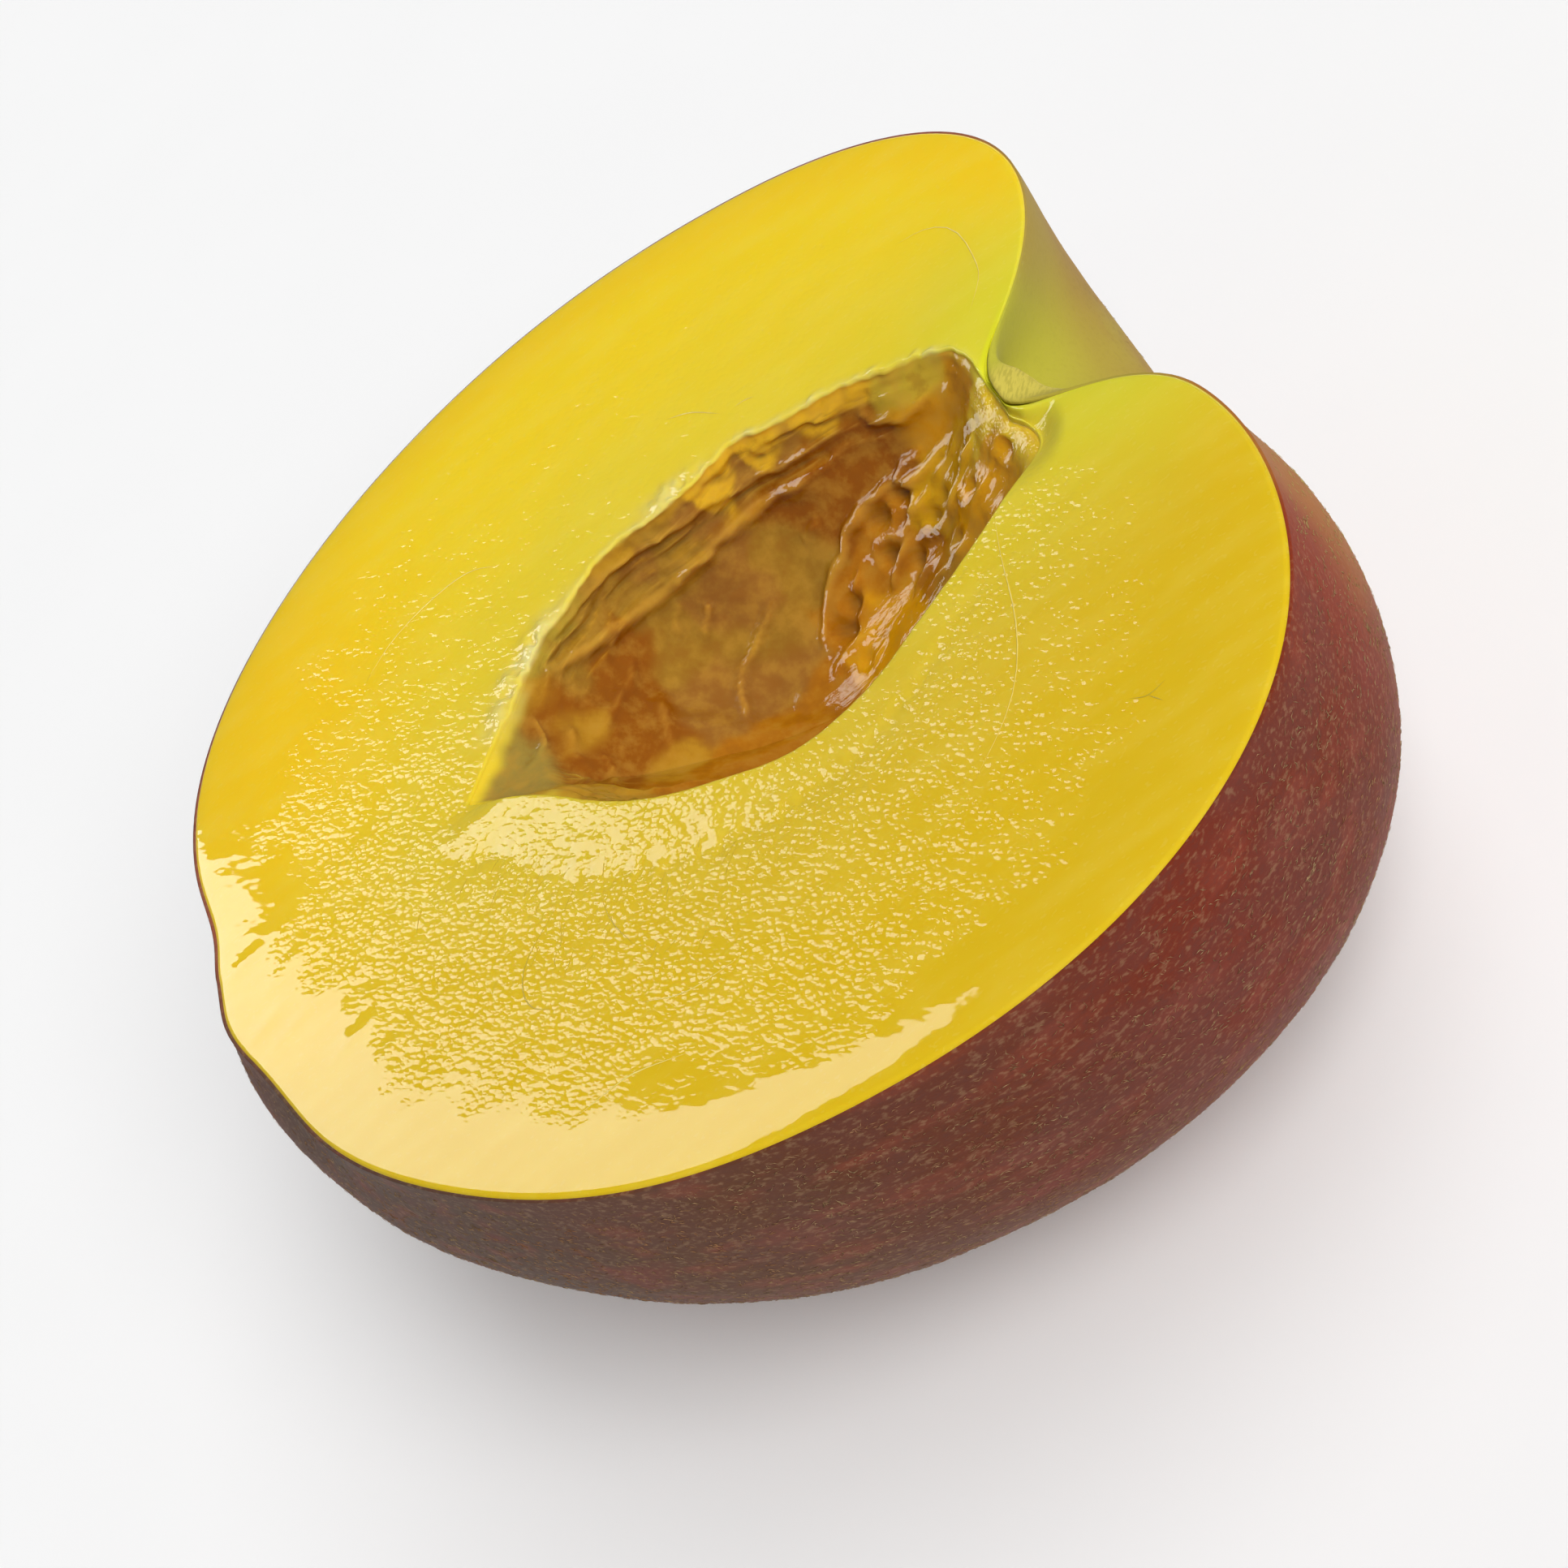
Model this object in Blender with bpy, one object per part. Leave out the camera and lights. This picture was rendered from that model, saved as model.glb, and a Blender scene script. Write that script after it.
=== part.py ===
"""Half of a ripe peach, cut along its suture with the stone lifted out, resting on its skin.

Metres, +Z up.  The cut face is level and looks up.  +X points to the stem end and -X to the tip,
and the two cheeks of the cut face lie towards +Y and -Y.  The origin is the middle of the small
flat spot that the half rests on.
"""
import math

import bmesh
import bpy
import numpy as np
from mathutils import Vector

MM = 0.001

# Driving dimensions of the fruit, in millimetres.
CUT_HEIGHT = 38.8           # from the resting spot up to the cut face
MIDDLE = (-1.7, 2.1)        # the peach's middle on the cut face, from the point above the origin
KEEL_FULLNESS = 0.03        # share by which the keel stands further out than the cut edges
KEEL_LEAN = 2.5             # the keel's extra fullness at the tip end, taken off at the stem end
FLANK_FULLNESS = 3.7        # swelling of the flanks between the cut edge and the keel, at the tip
RIM_ROUND = 0.6             # rounding of the cut edge where the skin ends

# The cut edge of each cheek: the angle from the stem axis, then the distance from the middle.
EDGE_ANGLES = (0, 4, 8, 16, 28, 45, 67, 90, 112, 134, 152, 166, 175, 180)
FAR_CHEEK = (25.1, 25.0, 25.5, 30.7, 37.5, 39.4, 37.3, 36.3, 36.9, 38.7, 39.6, 38.2, 37.0, 37.3)
NEAR_CHEEK = (25.1, 26.6, 31.5, 36.9, 40.7, 43.7, 42.6, 39.5, 38.0, 37.1, 37.0, 36.9, 37.6, 37.3)

# The stem basin and the scar that the stalk left in it.
SHOULDER_DIP = 6.1          # how far the shoulder beyond the far cheek falls away
SHOULDER_ANGLE = 17.0
SHOULDER_SPREAD = 16.0
SCAR_MIDDLE = (0.3, -1.8)   # sideways and up from the stem axis
SCAR_RADIUS = 2.4
SCAR_HEIGHT = 1.6

# The hollow that the stone left: its middle from the peach's middle, depth, and edge.
HOLLOW_MIDDLE = (4.5, -1.0)
HOLLOW_DEPTH = 12.5
HOLLOW_ANGLES = (0, 8, 18, 30, 45, 70, 95, 120, 145, 162, 172, 180)
HOLLOW_FAR = (19.5, 19.7, 20.4, 19.6, 16.4, 12.9, 11.7, 11.6, 13.1, 16.0, 18.3, 21.0)
HOLLOW_NEAR = (19.5, 21.2, 20.0, 17.9, 16.0, 14.5, 13.8, 13.3, 14.0, 15.9, 18.0, 21.0)
HOLLOW_POINT_SLOPE = 20.0   # how sharply the edge runs out to its pointed tip
HOLLOW_WALL_POWER = 2.6     # above 2 the walls are steeper and the floor flatter
RIDGE_HEIGHT = 0.8          # the long ridges that the stone pressed into the far wall
RIDGE_COUNT = 3

BODY_TURNS = 80             # facets around the stem axis
BODY_RINGS = 50             # facets from the stem to the tip
HOLLOW_TURNS = 60
HOLLOW_RINGS = 30
RING_CROWDING = 0.35        # draws the rings together at the stem basin
LID = 6.0                   # how far the cutters reach past what they cut

SKIN_COLOR = (0.20, 0.045, 0.025, 1.0)
FLESH_COLOR = (0.82, 0.55, 0.03, 1.0)
HOLLOW_COLOR = (0.42, 0.16, 0.015, 1.0)


def smooth_curve(stations, values, at, end_slopes=(0.0, 0.0)):
    """Cubic curve through the values, with the given slope at each end."""
    stations = np.asarray(stations, float)
    values = np.asarray(values, float)
    gaps = np.diff(stations)
    steps = np.diff(values) / gaps
    rows = np.eye(len(stations))
    wanted = np.zeros(len(stations))
    wanted[0], wanted[-1] = end_slopes
    for i in range(1, len(stations) - 1):
        rows[i, i - 1:i + 2] = gaps[i], 2 * (gaps[i - 1] + gaps[i]), gaps[i - 1]
        wanted[i] = 3 * (gaps[i] * steps[i - 1] + gaps[i - 1] * steps[i])
    slopes = np.linalg.solve(rows, wanted)
    place = min(max(int(np.searchsorted(stations, at)) - 1, 0), len(gaps) - 1)
    gap = gaps[place]
    part = (at - stations[place]) / gap
    rise = values[place + 1] - values[place]
    start = slopes[place] * gap - rise
    stop = rise - slopes[place + 1] * gap
    return values[place] + part * rise + part * (1 - part) * (start * (1 - part) + stop * part)


def peak(distance, width):
    """A smooth bump of height 1 that fades over the given width."""
    return math.exp(-((distance / width) ** 2))


def body_radius(lean, turn):
    """Distance from the peach's middle to its skin.

    lean is the angle from the stem axis.  turn goes around it: 0 at the far cheek's cut edge,
    a quarter turn at the keel under the half, a half turn at the near cheek's cut edge.
    """
    degrees = math.degrees(lean)
    far = smooth_curve(EDGE_ANGLES, FAR_CHEEK, degrees)
    near = smooth_curve(EDGE_ANGLES, NEAR_CHEEK, degrees)
    at_pole = (1 - peak(degrees, 9)) * (1 - peak(180 - degrees, 11))
    keel = KEEL_FULLNESS * (far + near) / 2 - KEEL_LEAN * math.cos(lean)
    flank = FLANK_FULLNESS * math.sin(lean / 2) ** 1.4 + KEEL_LEAN / 2 * math.cos(lean)
    if turn < math.pi / 2:
        flank -= SHOULDER_DIP * peak(degrees - SHOULDER_ANGLE, SHOULDER_SPREAD)
    across = far * math.cos(turn / 2) ** 2 + near * math.sin(turn / 2) ** 2
    swell = keel * math.sin(turn) ** 2 + flank * math.sin(2 * turn) ** 2
    return across + at_pole * swell


def hollow_radius(angle):
    """Distance from the hollow's middle to its edge, at an angle from the stem end."""
    edge = HOLLOW_FAR if angle >= 0 else HOLLOW_NEAR
    slopes = (0.0, math.radians(HOLLOW_POINT_SLOPE))
    return smooth_curve(HOLLOW_ANGLES, edge, math.degrees(abs(angle)), slopes)


def make_material(name, color, roughness):
    material = bpy.data.materials.new(name)
    material.use_nodes = True
    shader = material.node_tree.nodes["Principled BSDF"]
    shader.inputs["Base Color"].default_value = color
    shader.inputs["Roughness"].default_value = roughness
    shader.inputs["Metallic"].default_value = 0.0
    return material


def make_object(name, shape, collection, materials):
    mesh = bpy.data.meshes.new(name)
    shape.to_mesh(mesh)
    shape.free()
    piece = bpy.data.objects.new(name, mesh)
    collection.objects.link(piece)
    for material in materials:
        mesh.materials.append(material)
    return piece


def close_cut(shape, height, keep_above):
    """Cut the shape level at a height, drop one side and close the cut with one flat face."""
    side = Vector((0, 0, -1 if keep_above else 1))
    everything = shape.verts[:] + shape.edges[:] + shape.faces[:]
    bmesh.ops.bisect_plane(shape, geom=everything, dist=1e-7, plane_co=(0, 0, height),
                           plane_no=side, clear_outer=True)
    border = [edge for edge in shape.edges if edge.is_boundary]
    return bmesh.ops.edgeloop_fill(shape, edges=border)["faces"]


def make_peach_half(collection, skin, flesh):
    """The whole fruit as a shaped ball on the stem axis, cut level through its middle."""
    shape = bmesh.new()
    bmesh.ops.create_uvsphere(shape, u_segments=BODY_TURNS, v_segments=BODY_RINGS, radius=1.0)
    for vert in shape.verts:
        ball = vert.co.copy()
        even = math.acos(max(-1.0, min(1.0, ball.z)))
        lean = even - RING_CROWDING * math.sin(even)
        around = math.atan2(ball.y, ball.x)
        radius = body_radius(lean, abs(around))
        wide = radius * math.sin(lean)
        if lean < math.pi / 2:
            sideways = wide * math.cos(around) - SCAR_MIDDLE[0]
            upwards = wide * math.sin(around) - SCAR_MIDDLE[1]
            radius += SCAR_HEIGHT / (1 + (math.hypot(sideways, upwards) / SCAR_RADIUS) ** 4)
            wide = radius * math.sin(lean)
        vert.co = Vector((radius * math.cos(lean), wide * math.cos(around),
                          wide * math.sin(around))) * MM
    cut_face = close_cut(shape, 0.0, keep_above=False)
    for face in cut_face:
        face.material_index = 1
    rim = {edge for face in cut_face for edge in face.edges}
    bmesh.ops.bevel(shape, geom=list(rim), offset=RIM_ROUND * MM, segments=2, profile=0.5,
                    affect="EDGES", clamp_overlap=True, material=1)
    bmesh.ops.translate(shape, vec=Vector((MIDDLE[0], MIDDLE[1], CUT_HEIGHT)) * MM,
                        verts=shape.verts)
    close_cut(shape, 0.0, keep_above=True)
    for face in shape.faces:
        face.smooth = True
    return make_object("peach_half", shape, collection, [skin, flesh])


def make_stone_cutter(collection, material):
    """The stone's lower side, an almond bowl with long ridges, under a straight-walled lid."""
    shape = bmesh.new()
    bmesh.ops.create_uvsphere(shape, u_segments=HOLLOW_TURNS, v_segments=HOLLOW_RINGS, radius=1.0)
    for vert in shape.verts:
        ball = vert.co.copy()
        angle = math.atan2(ball.y, ball.x)
        share = min(1.0, math.hypot(ball.x, ball.y))
        if ball.z > 0.01:
            spread, height = share ** 0.3, LID * (1 - 0.2 * share)
        elif ball.z > -0.01:
            spread, height = 1.0, 0.3
        else:
            spread = share
            ridges = math.cos(2 * math.pi * RIDGE_COUNT * share) * math.sin(math.pi * share)
            far_wall = max(0.0, math.sin(angle)) ** 2
            height = -HOLLOW_DEPTH * (1 - share ** HOLLOW_WALL_POWER) ** 0.6
            height -= RIDGE_HEIGHT * ridges * far_wall
        radius = hollow_radius(angle) * spread
        vert.co = Vector((radius * math.cos(angle), radius * math.sin(angle), height)) * MM
    place = (MIDDLE[0] + HOLLOW_MIDDLE[0], MIDDLE[1] + HOLLOW_MIDDLE[1], CUT_HEIGHT)
    bmesh.ops.translate(shape, vec=Vector(place) * MM, verts=shape.verts)
    cutter = make_object("stone_cutter", shape, collection, [material])
    cutter.hide_render = True
    cutter.display_type = "WIRE"
    return cutter


def cut_away(piece, cutter):
    boolean = piece.modifiers.new("stone_hollow", "BOOLEAN")
    boolean.operation = "DIFFERENCE"
    boolean.solver = "EXACT"
    boolean.material_mode = "TRANSFER"
    boolean.object = cutter


for leftover in list(bpy.data.objects):
    bpy.data.objects.remove(leftover, do_unlink=True)
parts = bpy.data.collections.new("peach_half")
cutters = bpy.data.collections.new("cutters")
bpy.context.scene.collection.children.link(parts)
bpy.context.scene.collection.children.link(cutters)

peach_skin = make_material("peach_skin", SKIN_COLOR, 0.7)
peach_flesh = make_material("peach_flesh", FLESH_COLOR, 0.2)
hollow_lining = make_material("hollow_lining", HOLLOW_COLOR, 0.15)
half = make_peach_half(parts, peach_skin, peach_flesh)
stone = make_stone_cutter(cutters, hollow_lining)
cut_away(half, stone)
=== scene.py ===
"""Half of a ripe yellow peach with its stone lifted out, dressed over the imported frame."""
import math

import bpy
import numpy as np
from mathutils import Matrix, Vector, noise
from mathutils.kdtree import KDTree


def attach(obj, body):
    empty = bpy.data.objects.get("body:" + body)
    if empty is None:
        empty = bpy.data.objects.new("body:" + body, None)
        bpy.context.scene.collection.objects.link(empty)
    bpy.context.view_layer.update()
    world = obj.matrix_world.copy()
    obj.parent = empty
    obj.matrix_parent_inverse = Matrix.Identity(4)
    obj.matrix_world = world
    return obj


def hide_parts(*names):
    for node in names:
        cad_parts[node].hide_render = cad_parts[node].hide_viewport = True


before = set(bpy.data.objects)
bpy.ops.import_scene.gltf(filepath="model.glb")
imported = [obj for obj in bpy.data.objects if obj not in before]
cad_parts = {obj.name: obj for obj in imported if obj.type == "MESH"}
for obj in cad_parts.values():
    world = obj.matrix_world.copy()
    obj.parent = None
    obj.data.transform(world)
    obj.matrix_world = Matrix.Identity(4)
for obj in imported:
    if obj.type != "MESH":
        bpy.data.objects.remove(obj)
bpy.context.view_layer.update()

# ---------------------------------------------------------------------------------------------
# Flesh and stone hollow.  Real peach flesh: pulp cut with a wet knife, smooth at the rim,
# finely torn further in, with a raised collar round the near side of the hollow.  The hollow
# keeps the almond shape of the stone, its long ridges, pits and the fibres that held it.
# ---------------------------------------------------------------------------------------------
MM = 0.001
CUT_HEIGHT = 38.8           # from the resting spot up to the cut face
MIDDLE = (-1.7, 2.1)        # the peach's middle on the cut face, from above the resting spot
KEEL_FULLNESS = 0.03        # share by which the keel stands further out than the cut edges
KEEL_LEAN = 2.5             # the keel's extra fullness at the tip, taken off at the stem end
FLANK_FULLNESS = 3.7        # swelling of the flanks between the cut edge and the keel
# The cut edge of each cheek: the angle from the stem axis, then the distance from the middle.
EDGE_ANGLES = (0, 4, 8, 16, 28, 45, 67, 90, 112, 134, 152, 166, 175, 180)
FAR_CHEEK = (25.1, 25.0, 25.5, 30.7, 37.5, 39.4, 37.3, 36.3, 36.9, 38.7, 39.6, 38.2, 37.0, 37.3)
NEAR_CHEEK = (25.1, 26.6, 31.5, 36.9, 40.7, 43.7, 42.6, 39.5, 38.0, 37.1, 37.0, 36.9, 37.6, 37.3)
SHOULDER_DIP, SHOULDER_ANGLE, SHOULDER_SPREAD = 6.1, 17.0, 16.0
SCAR_MIDDLE = (0.5, -1.8)   # the stem scar, sideways and up from the stem axis
SCAR_RADIUS, SCAR_HEIGHT = 2.5, 2.3
SCAR_START = 0.8            # how far below the cut the stem scar stands at its full height
SCAR_NARROW = 0.8           # the scar is wider than it is deep

# The hollow: its middle from the peach's middle, its depth, and its edge on the two sides.
HOLLOW_MIDDLE = (4.5, -1.0)
HOLLOW_DEPTH = 12.5
HOLLOW_FAR_ANGLES = (0, 8, 20, 28, 38, 50, 62, 74, 86, 98, 110, 122, 136, 148, 160, 170, 180)
HOLLOW_FAR = (20.2, 20.3, 20.6, 19.0, 17.0, 14.9, 13.8, 13.5, 12.2, 11.8, 12.5, 13.6, 14.3, 15.5,
              16.3, 18.1, 20.9)
HOLLOW_NEAR_ANGLES = (0, 4, 8, 12, 16, 21, 28, 38, 48, 60, 75, 90, 105, 120, 135, 150, 162, 172,
                      180)
HOLLOW_NEAR = (20.2, 20.9, 21.4, 21.2, 20.2, 18.9, 17.3, 15.7, 14.7, 14.3, 14.0, 13.8, 13.3, 13.3,
               13.8, 14.6, 15.7, 17.9, 20.9)
HOLLOW_POINT_SLOPE = 20.0   # how sharply the edge runs out to its pointed tip
# How round (first) and how drawn-in (second) the bowl's wall is, going round from the stem end.
WALL_ANGLES = (0, 45, 90, 135, 180)
WALL_ROUND_FAR = (1.7, 2.0, 2.2, 2.1, 1.5)
WALL_DRAWN_FAR = (1.0, 0.85, 0.75, 0.8, 1.2)
WALL_ROUND_NEAR = (1.7, 1.7, 2.2, 2.2, 1.5)
WALL_DRAWN_NEAR = (1.0, 1.0, 0.8, 0.8, 1.2)

TURNS = 720                 # faces round the flesh, then the rows of faces in each zone of it
HOLLOW_ROWS, LIP_ROWS, FACE_ROWS, RIM_ROWS, UNDER_ROWS = 66, 4, 42, 7, 11
LIP_ROUND = 0.22            # rounding of the hollow's edge
RIM_ROUND = 0.45            # width of the rolled rim
RIM_DROP = 0.5              # how far down the rolled rim meets the skin
RIM_INSET = 0.06            # how far the rim lies inside the fruit's outline
FACE_CROWDING, UNDER_CROWDING = 1.35, 1.8   # above 1 the rows lie closer at the start
SKIN_OVERLAP = 0.2          # how far the flesh lies inside the skin below the rim
BASIN_OVERLAP = 0.7         # how much further inside it lies in the stem basin
FLESH_BOTTOM = 0.25         # the lowest that the flesh reaches
HOLLOW, LIP, FACE, RIM, UNDER = range(5)    # the zones of the flesh, from the middle outwards


def smooth_curve(stations, values, at, end_slopes=(0.0, 0.0)):
    """Cubic curve through the values, with the given slope at each end."""
    stations, values = np.asarray(stations, float), np.asarray(values, float)
    gaps = np.diff(stations)
    steps = np.diff(values) / gaps
    rows, wanted = np.eye(len(stations)), np.zeros(len(stations))
    wanted[0], wanted[-1] = end_slopes
    for i in range(1, len(stations) - 1):
        rows[i, i - 1:i + 2] = gaps[i], 2 * (gaps[i - 1] + gaps[i]), gaps[i - 1]
        wanted[i] = 3 * (gaps[i] * steps[i - 1] + gaps[i - 1] * steps[i])
    slopes = np.linalg.solve(rows, wanted)
    place = np.clip(np.searchsorted(stations, at) - 1, 0, len(gaps) - 1)
    part = (at - stations[place]) / gaps[place]
    rise = values[place + 1] - values[place]
    start = slopes[place] * gaps[place] - rise
    stop = rise - slopes[place + 1] * gaps[place]
    return values[place] + part * rise + part * (1 - part) * (start * (1 - part) + stop * part)


def peak(distance, width):
    """A smooth bump of height 1 that fades over the given width."""
    return np.exp(-((distance / width) ** 2))


def ease(low, high, value):
    """0 below low, 1 above high, smooth between."""
    share = np.clip((value - low) / (high - low), 0, 1)
    return share * share * (3 - 2 * share)


def body_radius(lean, turn):
    """Distance from the middle to the skin: lean from the stem axis, turn round it."""
    degrees = np.degrees(lean)
    far = smooth_curve(EDGE_ANGLES, FAR_CHEEK, degrees)
    near = smooth_curve(EDGE_ANGLES, NEAR_CHEEK, degrees)
    at_pole = (1 - peak(degrees, 9)) * (1 - peak(180 - degrees, 11))
    keel = KEEL_FULLNESS * (far + near) / 2 - KEEL_LEAN * np.cos(lean)
    flank = FLANK_FULLNESS * np.sin(lean / 2) ** 1.4 + KEEL_LEAN / 2 * np.cos(lean)
    shoulder = SHOULDER_DIP * peak(degrees - SHOULDER_ANGLE, SHOULDER_SPREAD)
    flank = flank - np.where(turn < math.pi / 2, shoulder, 0)
    across = far * np.cos(turn / 2) ** 2 + near * np.sin(turn / 2) ** 2
    return across + at_pole * (keel * np.sin(turn) ** 2 + flank * np.sin(2 * turn) ** 2)


def body_point(around, down, inset):
    """Points of the fruit's surface below the cut, seen from the middle of the cut face."""
    way = np.stack([np.cos(down) * np.cos(around), np.cos(down) * np.sin(around),
                    -np.sin(down) + 0 * around], -1)
    lean = np.arccos(np.clip(way[..., 0], -1, 1))
    radius = body_radius(lean, np.arctan2(-way[..., 2], way[..., 1]))
    sideways = SCAR_NARROW * (radius * way[..., 1] - SCAR_MIDDLE[0])
    upwards = radius * way[..., 2] - SCAR_MIDDLE[1]
    scar = SCAR_HEIGHT / (1 + (np.hypot(sideways, upwards) / SCAR_RADIUS) ** 4)
    scar = scar * ease(0.0, SCAR_START, -radius * way[..., 2])
    radius = radius + np.where(lean < math.pi / 2, scar, 0) - inset
    return way * radius[..., None]


def hollow_radius(angle):
    """Distance from the hollow's middle to its edge, at an angle from the stem end."""
    degrees, slopes = np.degrees(np.abs(angle)), (0.0, math.radians(HOLLOW_POINT_SLOPE))
    return np.where(angle >= 0, smooth_curve(HOLLOW_FAR_ANGLES, HOLLOW_FAR, degrees, slopes),
                    smooth_curve(HOLLOW_NEAR_ANGLES, HOLLOW_NEAR, degrees, slopes))


def both_sides(angle, far, near):
    """A property of the bowl's wall, from its far-side and near-side values round the bowl."""
    degrees = np.degrees(np.abs(angle))
    return np.where(angle >= 0, smooth_curve(WALL_ANGLES, far, degrees),
                    smooth_curve(WALL_ANGLES, near, degrees))


def grain(points, size, seed=0.0, stretch=(1, 1, 1)):
    """Smooth unevenness, about -1 to 1, with lumps of the given size in millimetres."""
    spread = np.asarray(points) / (np.asarray(stretch) * size) + seed
    return np.array([noise.noise(spot) for spot in spread.tolist()])


def clear_selection():
    """Operators act on all that is selected, so each piece starts with nothing selected."""
    for each in bpy.context.selected_objects:
        each.select_set(False)


def flesh_rows():
    """Where each row of the flesh lies: its zone and its share of the way through that zone."""
    rows = []
    for zone, count in enumerate((HOLLOW_ROWS, LIP_ROWS, FACE_ROWS, RIM_ROWS, UNDER_ROWS)):
        rows += [(zone, (i + 1) / count) for i in range(count)]
    return [(HOLLOW, 0.0)] + rows


def round_sheet(name, turns, rows):
    """A net of faces to be wrapped round the peach: its object, angles round and row numbers."""
    clear_selection()
    bpy.ops.mesh.primitive_grid_add(x_subdivisions=turns, y_subdivisions=rows, size=2)
    sheet = bpy.context.object
    sheet.name = sheet.data.name = name
    spots = np.empty(len(sheet.data.vertices) * 3)
    sheet.data.vertices.foreach_get("co", spots)
    across_share, up_share, _ = (spots.reshape(-1, 3).T + 1) / 2
    turn = np.rint(across_share * turns).astype(int) % turns
    row = np.rint(up_share * rows).astype(int)
    return sheet, math.pi - 2 * math.pi * turn / turns, row


def wrap(sheet, spots):
    """Put the net's points in place, given in millimetres, and join its seam and poles."""
    sheet.data.vertices.foreach_set("co", (spots * MM).ravel())
    bpy.ops.object.mode_set(mode="EDIT")
    bpy.ops.mesh.select_all(action="SELECT")
    bpy.ops.mesh.remove_doubles(threshold=1e-7)
    bpy.ops.object.mode_set(mode="OBJECT")
    bpy.ops.object.shade_smooth()


zones = flesh_rows()
last_row = len(zones) - 1
flesh, around, row = round_sheet("peach_flesh_half", TURNS, last_row)
around[(row == 0) | (row == last_row)] = 0
zone = np.array([zones[r][0] for r in row])
share = np.array([zones[r][1] for r in row])

# The hollow's edge is ragged on the far side, where the flesh tore from the stone.
TEAR_DEPTH, NEAR_TEAR = 0.30, 0.12     # the near edge keeps only this share of the tear
degrees = np.degrees(around)
outward = np.stack([np.cos(around), np.sin(around)], -1)
smooth_edge = hollow_radius(around)
edge_spot = np.column_stack([outward * smooth_edge[:, None], 0 * smooth_edge])
far_side = ease(0.05, 0.5, np.sin(around)) * (1 - 0.3 * ease(150, 175, degrees))
tear = TEAR_DEPTH * (grain(edge_spot, 0.9, 3.1) + grain(edge_spot, 3.0, 9.7))
edge = smooth_edge + tear * (NEAR_TEAR + (1 - NEAR_TEAR) * far_side) * (1 - peak(degrees, 14))
edge_spot = HOLLOW_MIDDLE + outward * edge[:, None]

# The hollow itself, from its floor up to its edge.
steep = share * math.pi / 2
round_wall = both_sides(around, WALL_ROUND_FAR, WALL_ROUND_NEAR)
drawn_wall = both_sides(around, WALL_DRAWN_FAR, WALL_DRAWN_NEAR)
spread = np.sin(steep) ** (2 / round_wall)
sunk = np.clip(np.cos(steep), 0, 1) ** (2 * drawn_wall)
wall_edge = smooth_edge + (edge - smooth_edge) * ease(0.72, 1.0, share)
hollow = np.column_stack([HOLLOW_MIDDLE + outward * (wall_edge * spread)[:, None],
                          -LIP_ROUND - (HOLLOW_DEPTH - LIP_ROUND) * sunk])

# The lip, the cut face and the rolled rim.
turned = share * math.pi / 2
lip_out = LIP_ROUND * (1 - np.cos(turned))
lip = np.column_stack([edge_spot + outward * lip_out[:, None],
                       -LIP_ROUND + LIP_ROUND * np.sin(turned)])
rim = body_point(around, np.zeros_like(around), RIM_INSET)[:, :2]
lip_end = edge_spot + outward * LIP_ROUND
width = np.linalg.norm(rim - lip_end, axis=1)
roll = np.minimum(RIM_ROUND, width * 0.35)
rim_start = rim + (lip_end - rim) * (roll / width)[:, None]
face = np.column_stack([lip_end + (rim_start - lip_end) * share[:, None] ** FACE_CROWDING,
                        0 * share])
rolled = np.column_stack([rim_start + (rim - rim_start) * np.sin(turned)[:, None],
                          -RIM_DROP * (1 - np.cos(turned))])

# The hidden underside, just inside the skin.
radius_at_rim = np.linalg.norm(rim, axis=1)
first_down = np.arcsin(RIM_DROP / radius_at_rim)
down = first_down + (math.pi / 2 - first_down) * share ** UNDER_CROWDING
lean = np.degrees(np.arccos(np.cos(down) * np.cos(around)))
inside_skin = SKIN_OVERLAP + BASIN_OVERLAP * peak(lean - 12, 16) * ease(0.0, 0.2, share)
under = body_point(around, down, inside_skin)
shape = np.select([zone[:, None] == each for each in (HOLLOW, LIP, FACE, RIM, UNDER)],
                  [hollow, lip, face, rolled, under])
shape[:, 2] = np.maximum(shape[:, 2], FLESH_BOTTOM - CUT_HEIGHT)


def seen_from_above(spots):
    """A search tree of the spots that takes no notice of their height."""
    found = KDTree(len(spots))
    for i, spot in enumerate(spots):
        found.insert((spot[0], spot[1], 0), i)
    found.balance()
    return found


def nearest(points, border):
    """How far each point is from the border."""
    found = seen_from_above(border)
    return np.array([found.find((x, y, 0))[2] for x, y in points])


# How far every point of the face is from the rim and from the hollow's edge.
all_round = np.linspace(-math.pi, math.pi, 2400, endpoint=False)
rim_line = body_point(all_round, np.zeros_like(all_round), RIM_INSET)[:, :2]
from_rim = nearest(shape[:, :2], rim_line)
from_hollow = nearest(shape[:, :2], edge_spot[row == 1])
from_hollow[zone == HOLLOW] = 0
flat = np.column_stack([shape[:, :2], 0 * share])

# Relief of the cut face: a collar on the near side of the hollow that slopes outwards to a
# ragged border with a crease beyond it.
COLLAR_ANGLES = (-180, -150, -120, -90, -60, -30)
COLLAR_WIDTHS = (3.2, 4.6, 4.4, 3.4, 2.6, 2.0)
COLLAR_HEIGHT, COLLAR_FALL, CREASE_DEPTH, CREASE_WIDTH = 0.05, 0.60, 0.10, 0.35
BEAD_HEIGHT, FRINGE_HEIGHT, PUFF_HEIGHT = 0.26, 0.04, 0.16
collar_width = smooth_curve(COLLAR_ANGLES, COLLAR_WIDTHS, np.clip(degrees, -180, -30))
collar_width = (collar_width * (1 + 0.14 * grain(flat, 3, 5.0)) + 0.50 * grain(flat, 1.3, 2.0)
                + 0.35 * grain(flat, 0.6, 2.6))
collar_side = ease(28, 60, -degrees) * (1 - ease(172, 180, -degrees))
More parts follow.
